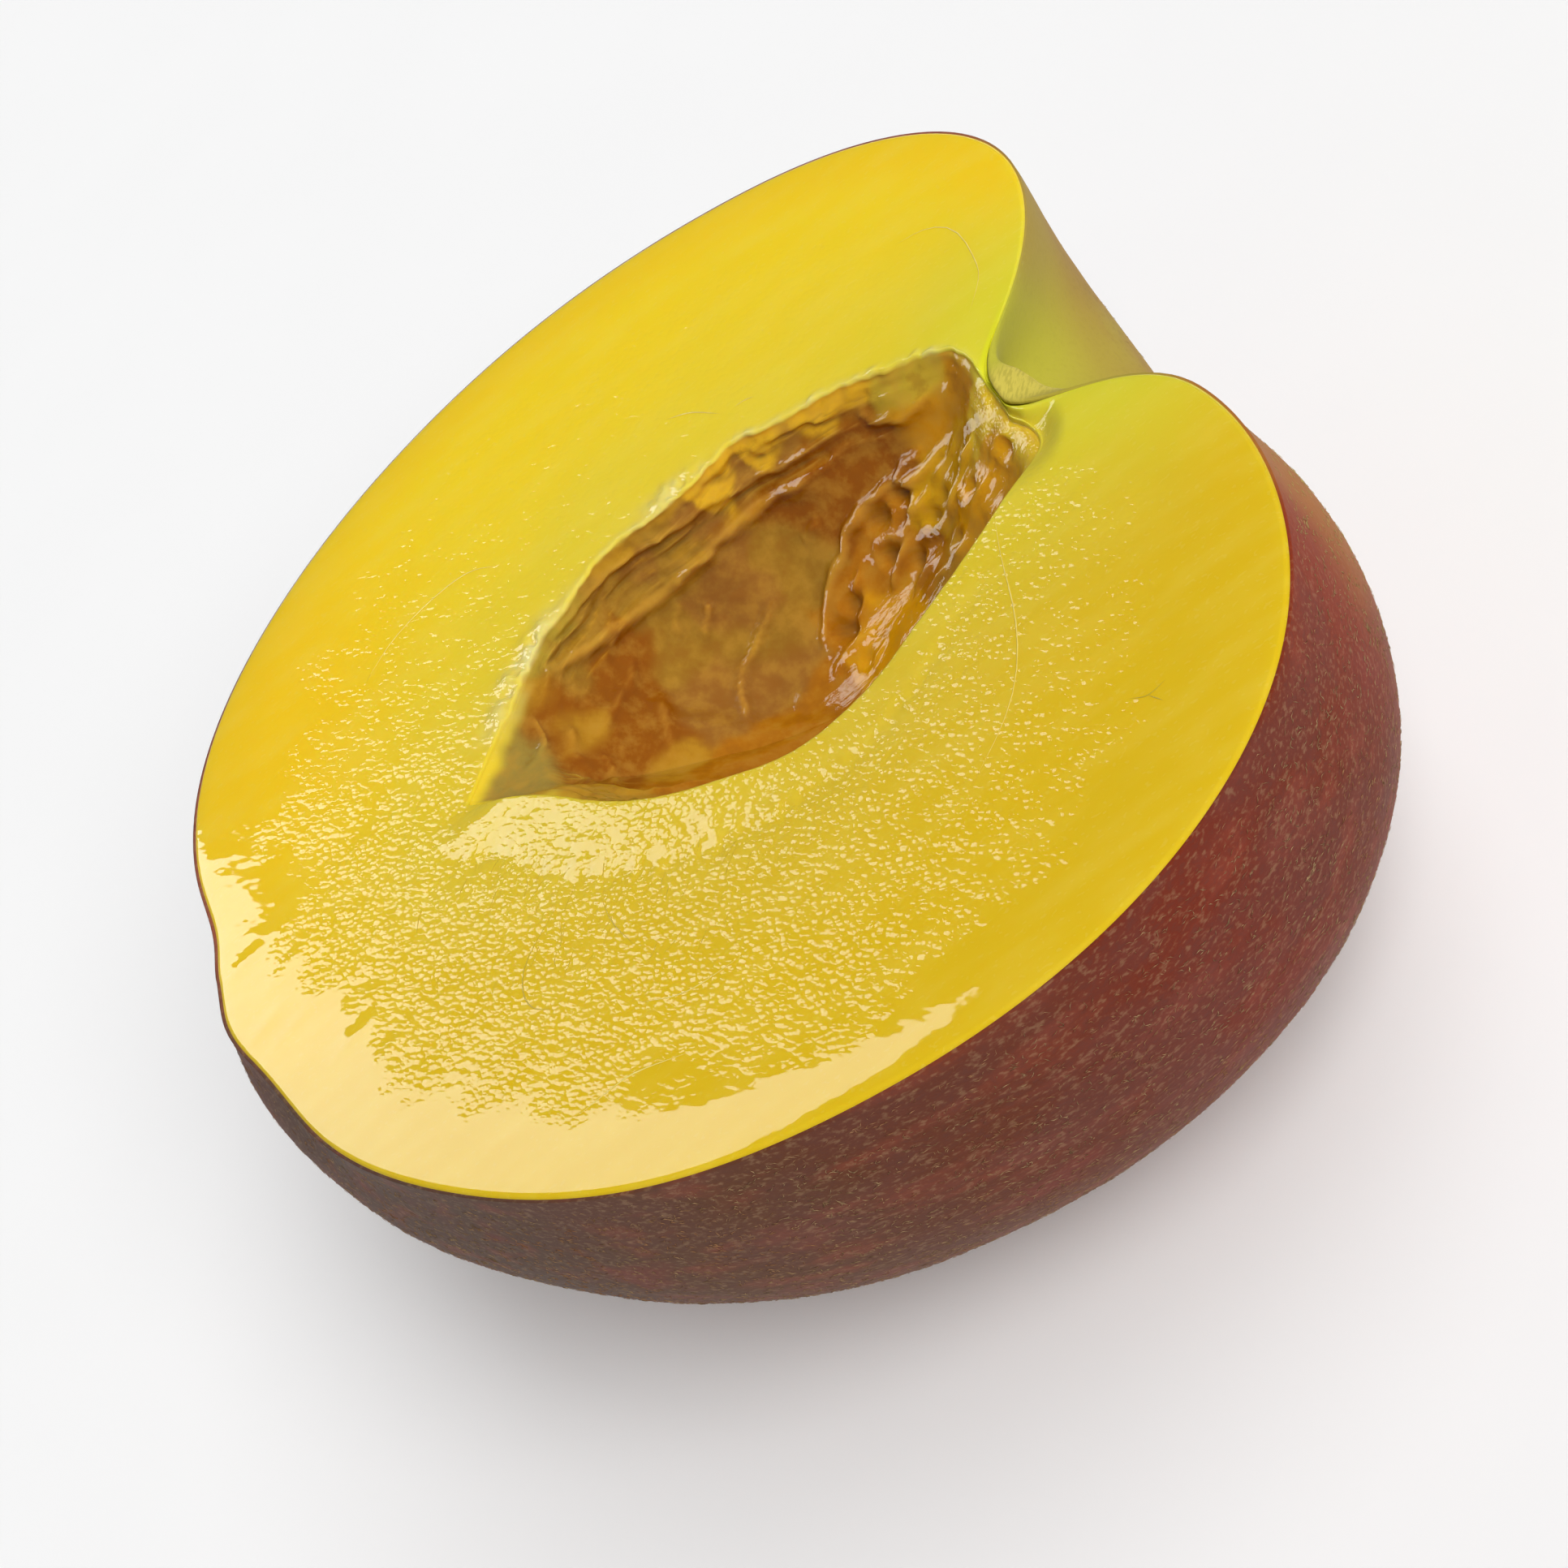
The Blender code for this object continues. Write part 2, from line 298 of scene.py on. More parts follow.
inside_collar = (1 - ease(0.0, 0.35, from_hollow - collar_width)) * collar_side
crease = peak(from_hollow - collar_width - 0.3, CREASE_WIDTH) * collar_side
relief = COLLAR_HEIGHT * inside_collar - CREASE_DEPTH * crease
collar_rise = np.clip(1 - from_hollow / collar_width, 0, 1) * ease(60, 125, -degrees)
relief += COLLAR_FALL * collar_rise * collar_side
# Slight waves and ripples of the whole face, and more of them beyond the collar.
relief += 0.05 * grain(flat, 7, 1.0) * ease(1, 8, from_rim)
relief += 0.02 * grain(flat, 2.5, 4.0, (1.6, 1, 1)) * ease(2, 8, from_rim)
shaken = (1 - ease(1.0, 7.0, from_hollow - collar_width)) * collar_side * ease(85, 120, -degrees)
relief += 0.045 * grain(flat, 1.3, 14.0, (1.3, 1, 1)) * shaken * (1 - inside_collar)
# The far edge is torn into small beads, with puffs of pulp further along.
beads = ease(0.40, 0.80, grain(flat, 0.75, 7.0) * 0.5 + 0.5)
beads = beads * (0.35 + 0.65 * peak(degrees - 42, 20)) * ease(-0.5, 0.3, grain(flat, 3.0, 71.0))
fringe = far_side * (1 - ease(0.1, 0.8, from_hollow))
relief += fringe * (FRINGE_HEIGHT + BEAD_HEIGHT * beads)
puff = (peak(degrees - 152, 14) + 0.8 * peak(degrees - 93, 9)) * peak(from_hollow - 0.7, 0.9)
puff *= 1 - ease(165, 178, degrees)
relief += puff * (PUFF_HEIGHT + 0.45 * grain(flat, 1.2, 8.0) + 0.30 * grain(flat, 0.55, 85.0))
shape[:, 2] += np.where((zone == LIP) | (zone == FACE), relief * ease(0.0, 2.0, from_rim), 0)
# The cut dips a little towards the rim, most of all at the tip, where it is rippled as well.
DIP_DEPTH, DIP_REACH = 0.275, 5.0
# Where each shallow ripple of the tip lies, how long and how wide it is, and how proud.
TIP_RIPPLES = (
    (-35.2, -0.3, 1.6, 0.55, 0.042), (-34.2, -6.2, 1.5, 0.60, 0.060),
    (-32.6, -8.0, 2.2, 0.50, 0.036), (-28.6, -12.2, 1.8, 0.60, 0.054),
    (-26.5, -10.0, 1.6, 0.50, 0.030), (-25.5, -14.6, 1.9, 0.50, 0.042),
    (-31.0, -2.8, 2.4, 0.50, 0.042),
)
RIPPLE_HEADING = 20         # the way the ripples run, from the stem line
tip_end = ease(135, 160, np.abs(degrees))
dip = np.clip(1 - from_rim / (DIP_REACH + 1.2 * tip_end), 0, 1) ** (2 - 0.8 * tip_end)
dip *= DIP_DEPTH + 0.07 * tip_end
ripple_way = math.radians(RIPPLE_HEADING)
for ripple_x, ripple_y, long, wide, proud in TIP_RIPPLES:
    off_x, off_y = shape[:, 0] - ripple_x, shape[:, 1] - ripple_y
    ripple_along = off_x * math.cos(ripple_way) + off_y * math.sin(ripple_way)
    ripple_across = off_y * math.cos(ripple_way) - off_x * math.sin(ripple_way)
    dip -= proud * peak(np.hypot(ripple_along / long, ripple_across / wide), 1)
shape[:, 2] -= np.where((zone == FACE) | (zone == RIM), dip, 0)

# Between the notch and the hollow there is no level face: the flesh slopes down into the bowl.
stem_slope = ease(-22, -6, degrees) * (1 - ease(5, 12, degrees))
sag_reach = np.clip(width - 0.35, 0.6, 2.4)
sagging = stem_slope * np.where(zone == HOLLOW, ease(0.75, 1.0, share),
                                ease(1, 0, from_hollow / sag_reach))
sagging[zone > FACE] = 0
shape[:, 2] -= sagging

# Ledges, cords and folds of the hollow: how proud and how wide each is, then places along it
# in millimetres from the middle of the cut face.
HOLLOW_LINES = (
    # Ledges of the far wall, and the furrows between them.
    (0.75, 0.50, ((-9.9, 4.6, -1.1), (-8.2, 6.5, -1.8), (-5.7, 7.8, -2.9), (-3.1, 9.0, -4.0),
                  (-0.6, 9.5, -4.5), (3.8, 9.7, -4.0), (7.6, 10.5, -4.2), (11.0, 9.6, -3.9),
                  (15.3, 8.7, -3.4))),
    (-0.40, 0.3, ((-0.4, 10.2, -2.7), (3.8, 10.2, -2.5), (7.4, 10.9, -3.3), (12.1, 9.6, -3.3),
                  (13.9, 9.1, -3.4))),
    (0.50, 0.34, ((-8.9, 6.8, -0.7), (-5.5, 9.0, -0.6), (-1.6, 10.7, -1.0), (3.4, 10.6, -1.3),
                  (6.8, 11.2, -2.4), (9.8, 10.8, -2.6), (12.9, 9.9, -2.4), (15.0, 9.4, -2.4))),
    (-0.35, 0.3, ((4.4, 10.6, -0.3), (7.5, 11.6, -1.5), (11.1, 10.7, -1.6), (13.5, 10.1, -1.5),
                   (16.9, 9.1, -1.8))),
    (0.35, 0.28, ((6.9, 11.7, -0.6), (10.0, 11.5, -0.8), (13.1, 10.5, -0.9), (17.5, 9.3, -1.1))),
    (0.5, 0.4, ((17.0, 9.2, -1.7), (17.4, 8.5, -2.5), (19.8, 6.9, -2.8), (22.6, 6.2, -1.3))),
    # Cords that held the stone, from the stem end down to the floor.
    (0.7, 0.42, ((23.0, 2.6, -1.6), (20.1, 4.4, -4.4), (17.6, 5.2, -5.8), (15.8, 6.2, -6.1),
                 (13.7, 6.8, -6.6), (11.7, 6.8, -7.4), (10.3, 6.4, -8.3), (8.7, 5.9, -9.3),
                 (7.2, 5.3, -10.2), (6.0, 4.0, -11.3), (5.1, 2.6, -11.9))),
    (0.4, 0.28, ((15.9, 6.2, -6.0), (16.8, 6.3, -5.4), (18.0, 6.0, -4.9), (18.8, 5.7, -4.7))),
    (0.4, 0.25, ((20.5, 3.9, -4.1), (19.6, 4.0, -5.0), (17.6, 4.3, -6.3))),
    (0.55, 0.30, ((22.7, 2.3, -1.9), (21.0, 1.5, -3.5), (19.5, 1.5, -4.9), (18.0, 1.3, -6.2),
                  (16.0, 2.5, -7.9), (15.0, 3.8, -8.1))),
    (0.45, 0.25, ((21.7, -0.1, -2.7), (20.9, -1.4, -3.6), (20.0, -1.2, -4.3), (19.2, -0.5, -5.0),
                  (19.5, 1.0, -4.8), (20.3, 0.4, -4.1), (21.1, -0.9, -3.4))),
    (0.4, 0.25, ((23.8, -0.9, -0.7), (22.0, -1.3, -2.5), (21.0, -1.1, -3.4))),
    (0.5, 0.35, ((17.9, 4.3, -6.2), (15.6, 4.2, -7.7), (14.9, 4.1, -8.0))),
    (0.4, 0.30, ((17.0, 5.1, -6.3), (16.4, 4.6, -7.0), (15.6, 4.4, -7.5))),
    (0.55, 0.38, ((15.2, 4.1, -7.9), (14.0, 4.4, -8.3), (12.1, 5.4, -8.6))),
    (0.5, 0.35, ((15.0, 3.8, -8.1), (12.8, 3.4, -9.4), (11.8, 3.1, -10.0))),
    (0.35, 0.27, ((15.6, 0.6, -8.0), (13.7, 1.3, -9.4), (12.9, 1.4, -9.9))),
    (0.35, 0.27, ((15.6, -0.8, -7.9), (13.6, -0.2, -9.2))),
    (0.35, 0.30, ((18.1, -1.8, -6.0), (17.1, -1.5, -6.8), (16.0, -1.1, -7.6))),
    (0.35, 0.27, ((21.8, -2.4, -2.8), (21.3, -2.7, -3.4), (20.4, -2.5, -4.2))),
    (0.4, 0.30, ((24.6, -2.9, -0.5), (24.0, -3.7, -1.0), (23.3, -3.6, -1.7))),
    (0.5, 0.38, ((9.6, 2.2, -11.1), (7.4, 2.3, -11.7), (5.5, 2.0, -12.1), (5.6, 1.1, -12.3))),
    (0.35, 0.22, ((9.2, 0.8, -11.6), (8.1, 0.3, -11.9))),
    (0.4, 0.30, ((10.6, 5.1, -9.3), (9.0, 4.5, -10.2))),
    # Folds of the floor and of the tip.
    (0.5, 0.38, ((6.3, 7.5, -8.5), (4.3, 6.7, -8.7), (2.5, 6.1, -9.5), (0.7, 5.3, -10.1),
                 (-0.3, 4.0, -10.3), (-0.8, 2.1, -10.5), (-1.0, 0.4, -10.2))),
    (0.35, 0.30, ((3.0, 2.1, -12.0), (2.3, 1.3, -12.1), (1.6, -0.9, -11.7))),
    (0.3, 0.25, ((10.3, 8.2, -6.2), (8.5, 8.5, -6.9))),
    (0.25, 0.55, ((-9.5, 2.8, -2.7), (-10.2, 0.8, -3.4), (-10.3, -0.2, -3.9))),
    (0.20, 0.40, ((-8.7, 0.8, -4.5), (-9.0, -1.0, -5.4), (-8.0, -4.6, -3.4))),
    (0.16, 0.40, ((-4.6, 7.2, -4.7), (-4.9, 6.4, -5.3), (-6.0, 5.0, -5.2), (-7.8, 2.5, -4.3))),
    (0.22, 0.60, ((-4.1, 4.9, -7.1), (-4.8, 2.8, -6.9), (-5.6, -0.4, -7.5))),
    (0.3, 0.40, ((1.0, 8.6, -6.3), (0.5, 8.1, -7.1), (-0.8, 7.4, -7.7))),
    (0.50, 0.30, ((-10.9, 3.7, -1.0), (-11.0, 2.6, -1.6), (-11.4, 1.5, -2.0), (-12.4, 0.4, -2.0),
                  (-13.4, -0.1, -1.6))),
    (0.30, 0.36, ((-9.6, 2.5, -2.8), (-9.9, 1.6, -3.1), (-10.1, 0.5, -3.6), (-10.0, -0.4, -4.3),
                  (-8.9, -3.8, -3.2))),
    (0.26, 0.36, ((-4.7, 7.3, -4.6), (-5.2, 6.2, -5.3), (-6.0, 4.9, -5.3), (-7.2, 3.1, -4.5),
                  (-8.0, 2.1, -4.3), (-8.5, 1.2, -4.5))),
    (0.30, 0.36, ((-8.7, 0.5, -4.6), (-8.9, -0.4, -5.1), (-8.0, -4.2, -3.6))),
    (0.20, 0.36, ((-7.0, 2.5, -5.0), (-7.5, 1.4, -5.1), (-7.7, 0.3, -5.5))),
    (0.22, 0.42, ((-4.8, 4.2, -6.7), (-4.9, 2.2, -7.0), (-5.3, 0.4, -7.3), (-5.5, -2.8, -6.6))),
    (0.35, 0.25, ((-11.2, -0.9, -3.8), (-8.0, -5.0, -3.1), (-5.5, -4.8, -5.8), (-3.1, -4.0, -8.2))),
    (0.45, 0.30, ((-13.2, 0.0, -1.7), (-11.1, -0.7, -3.7), (-9.0, -3.7, -3.2))),
    # Thin ledges and a furrow on the far wall.
    (0.40, 0.28, ((-0.6, 9.4, -4.7), (1.2, 9.6, -4.1), (2.5, 9.6, -4.1), (4.0, 9.4, -4.6))),
    (0.35, 0.24, ((-2.5, 9.4, -3.8), (-1.3, 9.8, -3.8), (0.8, 9.9, -3.6), (3.3, 9.8, -3.6))),
    (-0.30, 0.24, ((-11.1, 4.2, -0.4), (-9.8, 5.6, -0.6), (-7.6, 7.4, -1.4), (-5.6, 8.5, -1.8),
                   (-3.1, 9.8, -2.2), (-0.8, 10.3, -2.4), (1.3, 10.3, -2.3))),
    (0.30, 0.22, ((-2.7, 10.5, -0.6), (-0.2, 10.7, -0.8), (2.0, 10.6, -1.0))),
    (0.30, 0.26, ((-0.3, 9.1, -5.3), (-1.1, 8.6, -5.9), (-1.9, 7.6, -6.9))),
    (0.30, 0.30, ((1.4, 8.6, -6.2), (0.2, 7.8, -7.4), (-1.0, 6.9, -8.0))),
)
# Pits and one soft lump: how deep and how wide each is, and its place.
HOLLOW_PITS = (
    (0.60, 0.50, (20.0, -0.2, -4.4)), (0.85, 0.70, (12.8, 4.4, -9.0)),
    (0.85, 0.65, (14.1, 2.6, -9.1)), (0.65, 0.70, (16.8, 3.0, -7.3)),
    (0.75, 0.80, (13.5, 6.1, -7.3)), (0.65, 0.50, (17.3, -0.6, -6.6)),
    (0.85, 0.70, (8.8, 4.3, -10.4)), (0.85, 0.80, (7.6, 3.6, -11.1)),
    (0.65, 0.50, (7.6, 1.0, -12.0)), (0.65, 0.70, (15.8, 5.7, -6.5)),
    (0.65, 0.70, (23.1, -2.2, -1.6)), (0.55, 0.50, (20.7, 2.2, -3.9)),
    (0.55, 0.60, (18.0, 2.9, -6.4)), (-0.80, 1.80, (19.8, 7.6, -2.0)),
)
# Runs of juice that lie level on the ledges and cords: how full and how wide each one is.
JUICE_RUNS = (
    (1.0, 0.50, ((5.1, 9.9, -4.0), (5.8, 10.0, -4.3), (7.0, 10.3, -4.5), (8.4, 10.3, -4.4),
                (9.7, 10.0, -4.2), (11.1, 9.6, -3.9), (12.1, 9.4, -3.7), (13.3, 9.1, -3.7))),
    (0.8, 0.22, ((10.8, 10.4, -2.5), (12.0, 10.1, -2.4), (12.8, 9.9, -2.3))),
    (0.8, 0.25, ((13.4, 9.6, -2.6), (14.0, 9.6, -2.5), (14.6, 9.5, -2.4))),
    (0.7, 0.12, ((5.6, 11.3, -0.5), (6.6, 11.6, -0.9), (7.7, 11.7, -1.2))),
    (0.7, 0.12, ((9.9, 11.5, -0.9), (10.7, 11.1, -1.0), (11.4, 10.8, -1.1))),
    (0.7, 0.12, ((5.8, 10.8, -2.5), (6.8, 11.1, -2.7), (7.8, 11.2, -2.9))),
    (0.7, 0.12, ((12.2, 10.7, -0.9), (13.0, 10.4, -1.1), (13.8, 10.2, -1.2))),
    (0.7, 0.15, ((1.9, 9.6, -4.0), (2.7, 9.6, -4.0), (3.7, 9.6, -4.1))),
    (0.6, 0.12, ((16.1, 9.6, -1.3), (17.1, 9.4, -1.1), (17.7, 9.2, -1.2))),
    (0.8, 0.22, ((15.8, 6.3, -6.0), (16.7, 6.2, -5.5), (17.6, 6.1, -5.1), (18.7, 5.8, -4.7))),
    (0.8, 0.16, ((15.9, 6.2, -6.1), (16.6, 5.7, -6.0), (17.5, 5.4, -5.8), (18.7, 5.1, -5.2),
                (19.9, 4.8, -4.5), (21.1, 4.3, -3.8))),
    (0.8, 0.20, ((22.1, 3.1, -2.9), (21.5, 2.7, -3.5), (20.9, 2.1, -4.0), (20.2, 1.6, -4.6),
                (19.4, 1.6, -5.3), (18.3, 2.3, -6.3))),
    (0.8, 0.20, ((21.6, 0.6, -3.3), (21.2, -0.2, -3.7), (20.5, -0.6, -4.3), (19.8, -0.5, -4.9),
                (19.1, 0.2, -5.5), (19.0, 1.1, -5.6))),
    (0.9, 0.40, ((21.9, 2.8, -3.2), (22.9, 1.7, -2.1), (24.1, 0.2, -1.0))),
    (0.8, 0.16, ((24.7, 0.1, -1.6), (24.4, -1.9, -1.0), (24.0, -2.6, -1.7), (23.5, -2.9, -2.4),
                (22.8, -2.6, -2.9))),
    (0.9, 0.25, ((21.9, -1.8, -3.4), (21.4, -1.9, -3.9), (20.7, -1.8, -4.4))),
    (0.8, 0.16, ((17.1, 5.2, -6.1), (16.8, 4.8, -6.5), (16.3, 4.6, -7.0))),
    (0.9, 0.32, ((15.5, 4.6, -7.4), (15.3, 4.1, -7.8), (14.8, 4.1, -8.1), (14.1, 4.4, -8.3))),
    (0.9, 0.30, ((14.6, 3.5, -8.5), (15.4, 3.3, -8.2), (16.5, 1.9, -7.6), (17.5, 1.5, -6.9),
                (18.2, 1.1, -6.2))),
    (0.9, 0.14, ((15.1, 6.5, -6.1), (13.9, 6.7, -6.6), (12.6, 6.8, -7.0), (11.7, 6.8, -7.4),
                (10.7, 6.5, -8.0), (9.6, 6.0, -8.9))),
    (0.9, 0.30, ((12.0, 5.3, -8.7), (12.8, 5.2, -8.4), (13.5, 4.9, -8.3))),
    (0.8, 0.28, ((10.9, 5.4, -9.0), (11.5, 5.3, -8.9), (11.5, 4.8, -9.2))),
    (0.9, 0.20, ((13.9, 3.5, -8.9), (13.1, 3.4, -9.3), (12.4, 3.5, -9.6), (12.1, 3.1, -9.9))),
    (0.9, 0.22, ((15.4, 1.2, -8.4), (14.4, 1.4, -9.0), (13.3, 1.7, -9.7))),
    (0.9, 0.25, ((17.8, -1.4, -6.6), (16.8, -0.9, -7.3), (15.9, -0.8, -7.9))),
    (0.8, 0.16, ((15.2, -0.5, -8.4), (14.4, -0.2, -8.9), (13.6, -0.0, -9.4), (12.9, 0.1, -9.8))),
    (0.9, 0.26, ((10.3, 5.4, -9.1), (9.7, 5.2, -9.5), (9.3, 4.7, -10.0))),
    (0.9, 0.20, ((8.5, 5.7, -9.5), (7.4, 5.4, -10.1), (6.4, 4.5, -10.9), (5.8, 3.5, -11.5),
                (5.3, 2.6, -11.9))),
    (0.9, 0.28, ((9.4, 2.1, -11.2), (8.4, 1.9, -11.6), (7.5, 2.0, -11.8), (6.6, 2.1, -11.9),
                (5.8, 1.7, -12.1), (5.6, 0.8, -12.3))),
    (0.7, 0.12, ((11.6, 0.9, -10.6), (10.9, 0.8, -10.9))),
    (0.7, 0.12, ((9.0, 0.7, -11.6), (8.3, 0.4, -11.9))),
    (0.9, 0.32, ((22.6, 6.0, -1.6), (21.8, 6.2, -2.1), (20.9, 6.5, -2.5))),
    (0.8, 0.16, ((6.4, 7.2, -8.8), (5.0, 7.0, -8.7), (3.6, 6.8, -8.6), (2.5, 6.5, -9.0),
                (1.2, 5.9, -9.8), (-0.0, 4.5, -10.2), (-0.7, 3.4, -10.3))),
    (0.6, 0.10, ((-0.7, 2.5, -10.5), (-1.0, 1.1, -10.2))),
    (0.6, 0.10, ((8.4, 8.5, -6.9), (9.3, 8.4, -6.6), (10.2, 8.2, -6.3))),
    (0.7, 0.12, ((1.8, -1.3, -11.8), (2.3, -0.1, -12.0), (3.1, 0.4, -12.3))),
    (0.8, 0.10, ((-8.8, 0.3, -4.7), (-8.8, -0.3, -5.1), (-8.8, -0.6, -5.3))),
)


def smooth_line(places, at):
    """Points of a smooth line through the places; at counts along the places from 0."""
    places = np.asarray(places, float)
    starts, ends = places[1] - places[0], places[-1] - places[-2]
    return np.stack([smooth_curve(np.arange(len(places)), places[:, i], at, (starts[i], ends[i]))
                     for i in range(places.shape[1])], -1)


def near_line(points, places):
    """How far every point is from a smooth line through the places, and its share along it."""
    last = len(places) - 1
    line = smooth_line(places, np.linspace(0, last, 6 * last + 1))
    gap, along_line = np.full(len(points), 99.0), np.zeros(len(points))
    close = np.flatnonzero(np.all((points > line.min(0) - 2) & (points < line.max(0) + 2), axis=1))
    for i in range(len(line) - 1):
        step = line[i + 1] - line[i]
        part = np.clip((points[close] - line[i]) @ step / (step @ step), 0, 1)
        off = np.linalg.norm(points[close] - line[i] - part[:, None] * step, axis=1)
        nearer = off < gap[close]
        gap[close[nearer]] = off[nearer]
        along_line[close[nearer]] = (i + part[nearer]) / (len(line) - 1)
    return gap, along_line


def wandering(points, size, seeds):
    """Three unevennesses for each point, to push it about by."""
    return np.stack([grain(points, size, seed) for seed in seeds], -1)


# The hollow is shallow at its tip, with a step down into the bowl.
TIP_STEP = (-11.9, -10.5)   # where the step starts and ends along the stem line
TIP_START, TIP_DEPTH, TIP_SLOPE = -16.4, 0.5, 0.28
wander = wandering(shape, 1.6, (31.0, 37.0, 41.0))
at_tip = (1 - ease(*TIP_STEP, shape[:, 0] + 0.8 * wander[:, 0])) * (zone == HOLLOW)
tip_floor = -TIP_DEPTH - TIP_SLOPE * (shape[:, 0] - TIP_START) + 0.15 * wander[:, 1]
tip_floor = np.maximum(shape[:, 2], tip_floor)
shape[:, 2] += (tip_floor - shape[:, 2]) * at_tip * ease(0, 0.1, 1 - share)

# Cords, pits and, on the near wall, torn membranes in layers that hang from the edge.
MEMBRANES = ((0.50, 0.55, 0.16), (0.45, 1.15, 0.20), (0.35, 1.8, 0.22))   # proud, deep, wide
depth = -shape[:, 2]
wall = (zone == HOLLOW) * ease(0.0, 0.25, share)
spots = shape + 0.30 * wander
cords = np.zeros_like(share)
for proud, wide, places in HOLLOW_LINES:
    gap, along_line = near_line(spots, places)
    taper = ease(-0.02, 0.22, along_line) * ease(-0.02, 0.22, 1 - along_line)
    cords += proud * taper * peak(gap, wide) * (1 + 0.35 * wander[:, 2])
pitted = np.zeros_like(share)
for deep, wide, place in HOLLOW_PITS:
    gap = np.linalg.norm(spots - place, axis=1)
    pitted += deep * peak(gap, wide) - 0.2 * max(deep, 0) * peak(gap - 1.5 * wide, 0.3)
torn_side = ease(85, 105, -degrees) * (1 - ease(168, 178, -degrees))
layered = depth + 0.35 * grain(flat, 5, 6.0) + 0.010 * (degrees + 130)
push = cords - pitted
for proud, deep, wide in MEMBRANES:
    push += proud * torn_side * peak(layered - deep, wide)
waves = grain(shape, 4.5, 11.0) * 0.30 + grain(shape, 2.0, 13.0) * 0.14
push += waves * ease(0, 0.15, 1 - share)
push += grain(shape, 0.7, 17.0) * 0.05 * ease(0.3, 0.6, share)
# Fibres run along the wall of the hollow, tip to stem.
FIBRE_PUSH = 0.10
fibre_spots = np.column_stack([degrees / 10, depth * 1.45 + 0.3 * wander[:, 0], 0 * depth])
fibres = grain(fibre_spots, 1.0, 19.0) + 0.6 * grain(fibre_spots, 0.6, 23.0)
# The far wall is torn into thin layers, each with a sharp upper lip.
LAYER_THICKNESS, LAYER_PUSH = 0.80, 0.42
layer_depth = depth + 0.45 * grain(flat, 4.0, 81.0) + 0.12 * wander[:, 1]
layer_depth /= LAYER_THICKNESS + 0.25 * ease(150, 60, degrees)
layer_share = layer_depth - np.floor(layer_depth)
layer_lip = ease(0.0, 0.22, layer_share) * (1 - layer_share)
far_layers = ease(18, 40, degrees) * (1 - ease(150, 168, degrees)) * ease(0.3, 0.7, depth)
far_layers *= (1 - ease(3.6, 5.0, depth)) * (0.65 + 0.35 * grain(flat, 3.0, 83.0))
push += LAYER_PUSH * layer_lip * far_layers
push += FIBRE_PUSH * fibres * ease(0.35, 0.6, share) * (1 - ease(0.93, 1.0, share))

# All of it pushes the wall inwards, more sideways near the edge and more upwards on the floor.
lift = np.clip(np.sin(steep), 0.0, 1.0)
into = np.column_stack([-outward * lift[:, None], np.sqrt(1 - lift ** 2)])
bowl = shape.copy()
shape += into * (push * wall)[:, None]
juice = np.zeros_like(share)
for full, wide, places in JUICE_RUNS:
    gap, along_line = near_line(bowl + 0.12 * wander, places)
    taper = ease(-0.05, 0.12, along_line) * ease(-0.05, 0.12, 1 - along_line)
    juice = np.maximum(juice, full * taper * peak(gap, wide))

shape += (MIDDLE[0], MIDDLE[1], CUT_HEIGHT)


def keep_numbers(piece, name, values):
    """Keeps one number at each point of the piece, for its material to read."""
    layer = piece.data.attributes.new(name, "FLOAT", "POINT")
    layer.data.foreach_set("value", np.asarray(values, np.float32))


def blend_shades(shades, spots, sharp=1.0):
    """Each spot's colour, from the shades that lie nearest to it."""
    tint, total = np.zeros_like(spots), np.full(len(spots), 1e-9)
    for tone, reach, *places in shades:
        for place in places:
            weight = peak(np.linalg.norm(spots - place, axis=1), sharp * reach) + 1e-7 * reach
            tint += weight[:, None] * tone
            total += weight
    return tint / total[:, None]


def keep_colours(piece, name, tint):
    """Keeps one colour at each point of the piece, for its material to read."""
    layer = piece.data.attributes.new(name, "FLOAT_COLOR", "POINT")
    tint = np.column_stack([tint, np.ones(len(tint))])
    layer.data.foreach_set("color", tint.astype(np.float32).ravel())


def shade(red, green, blue):
    """A colour to be kept at points."""
    return np.array((red, green, blue))


# Tones of the hollow's lining, from the darkest to the palest.
RUST = shade(0.275, 0.080, 0.002)
UMBER = shade(0.30, 0.122, 0.016)
OLIVE_BROWN = shade(0.33, 0.165, 0.014)
GREY_OLIVE = shade(0.32, 0.218, 0.036)
AMBER = shade(0.42, 0.151, 0.003)
HONEY = shade(0.46, 0.226, 0.012)
MOSS_TAN = shade(0.42, 0.287, 0.026)
ORANGE_AMBER = shade(0.55, 0.236, 0.002)
GOLDEN_AMBER = shade(0.57, 0.298, 0.002)
OLIVE_TAN = shade(0.51, 0.345, 0.024)
LIT_ORANGE = shade(0.70, 0.323, 0.002)
LIT_HONEY = shade(0.71, 0.391, 0.014)
PALE_PULP = shade(0.77, 0.520, 0.020)
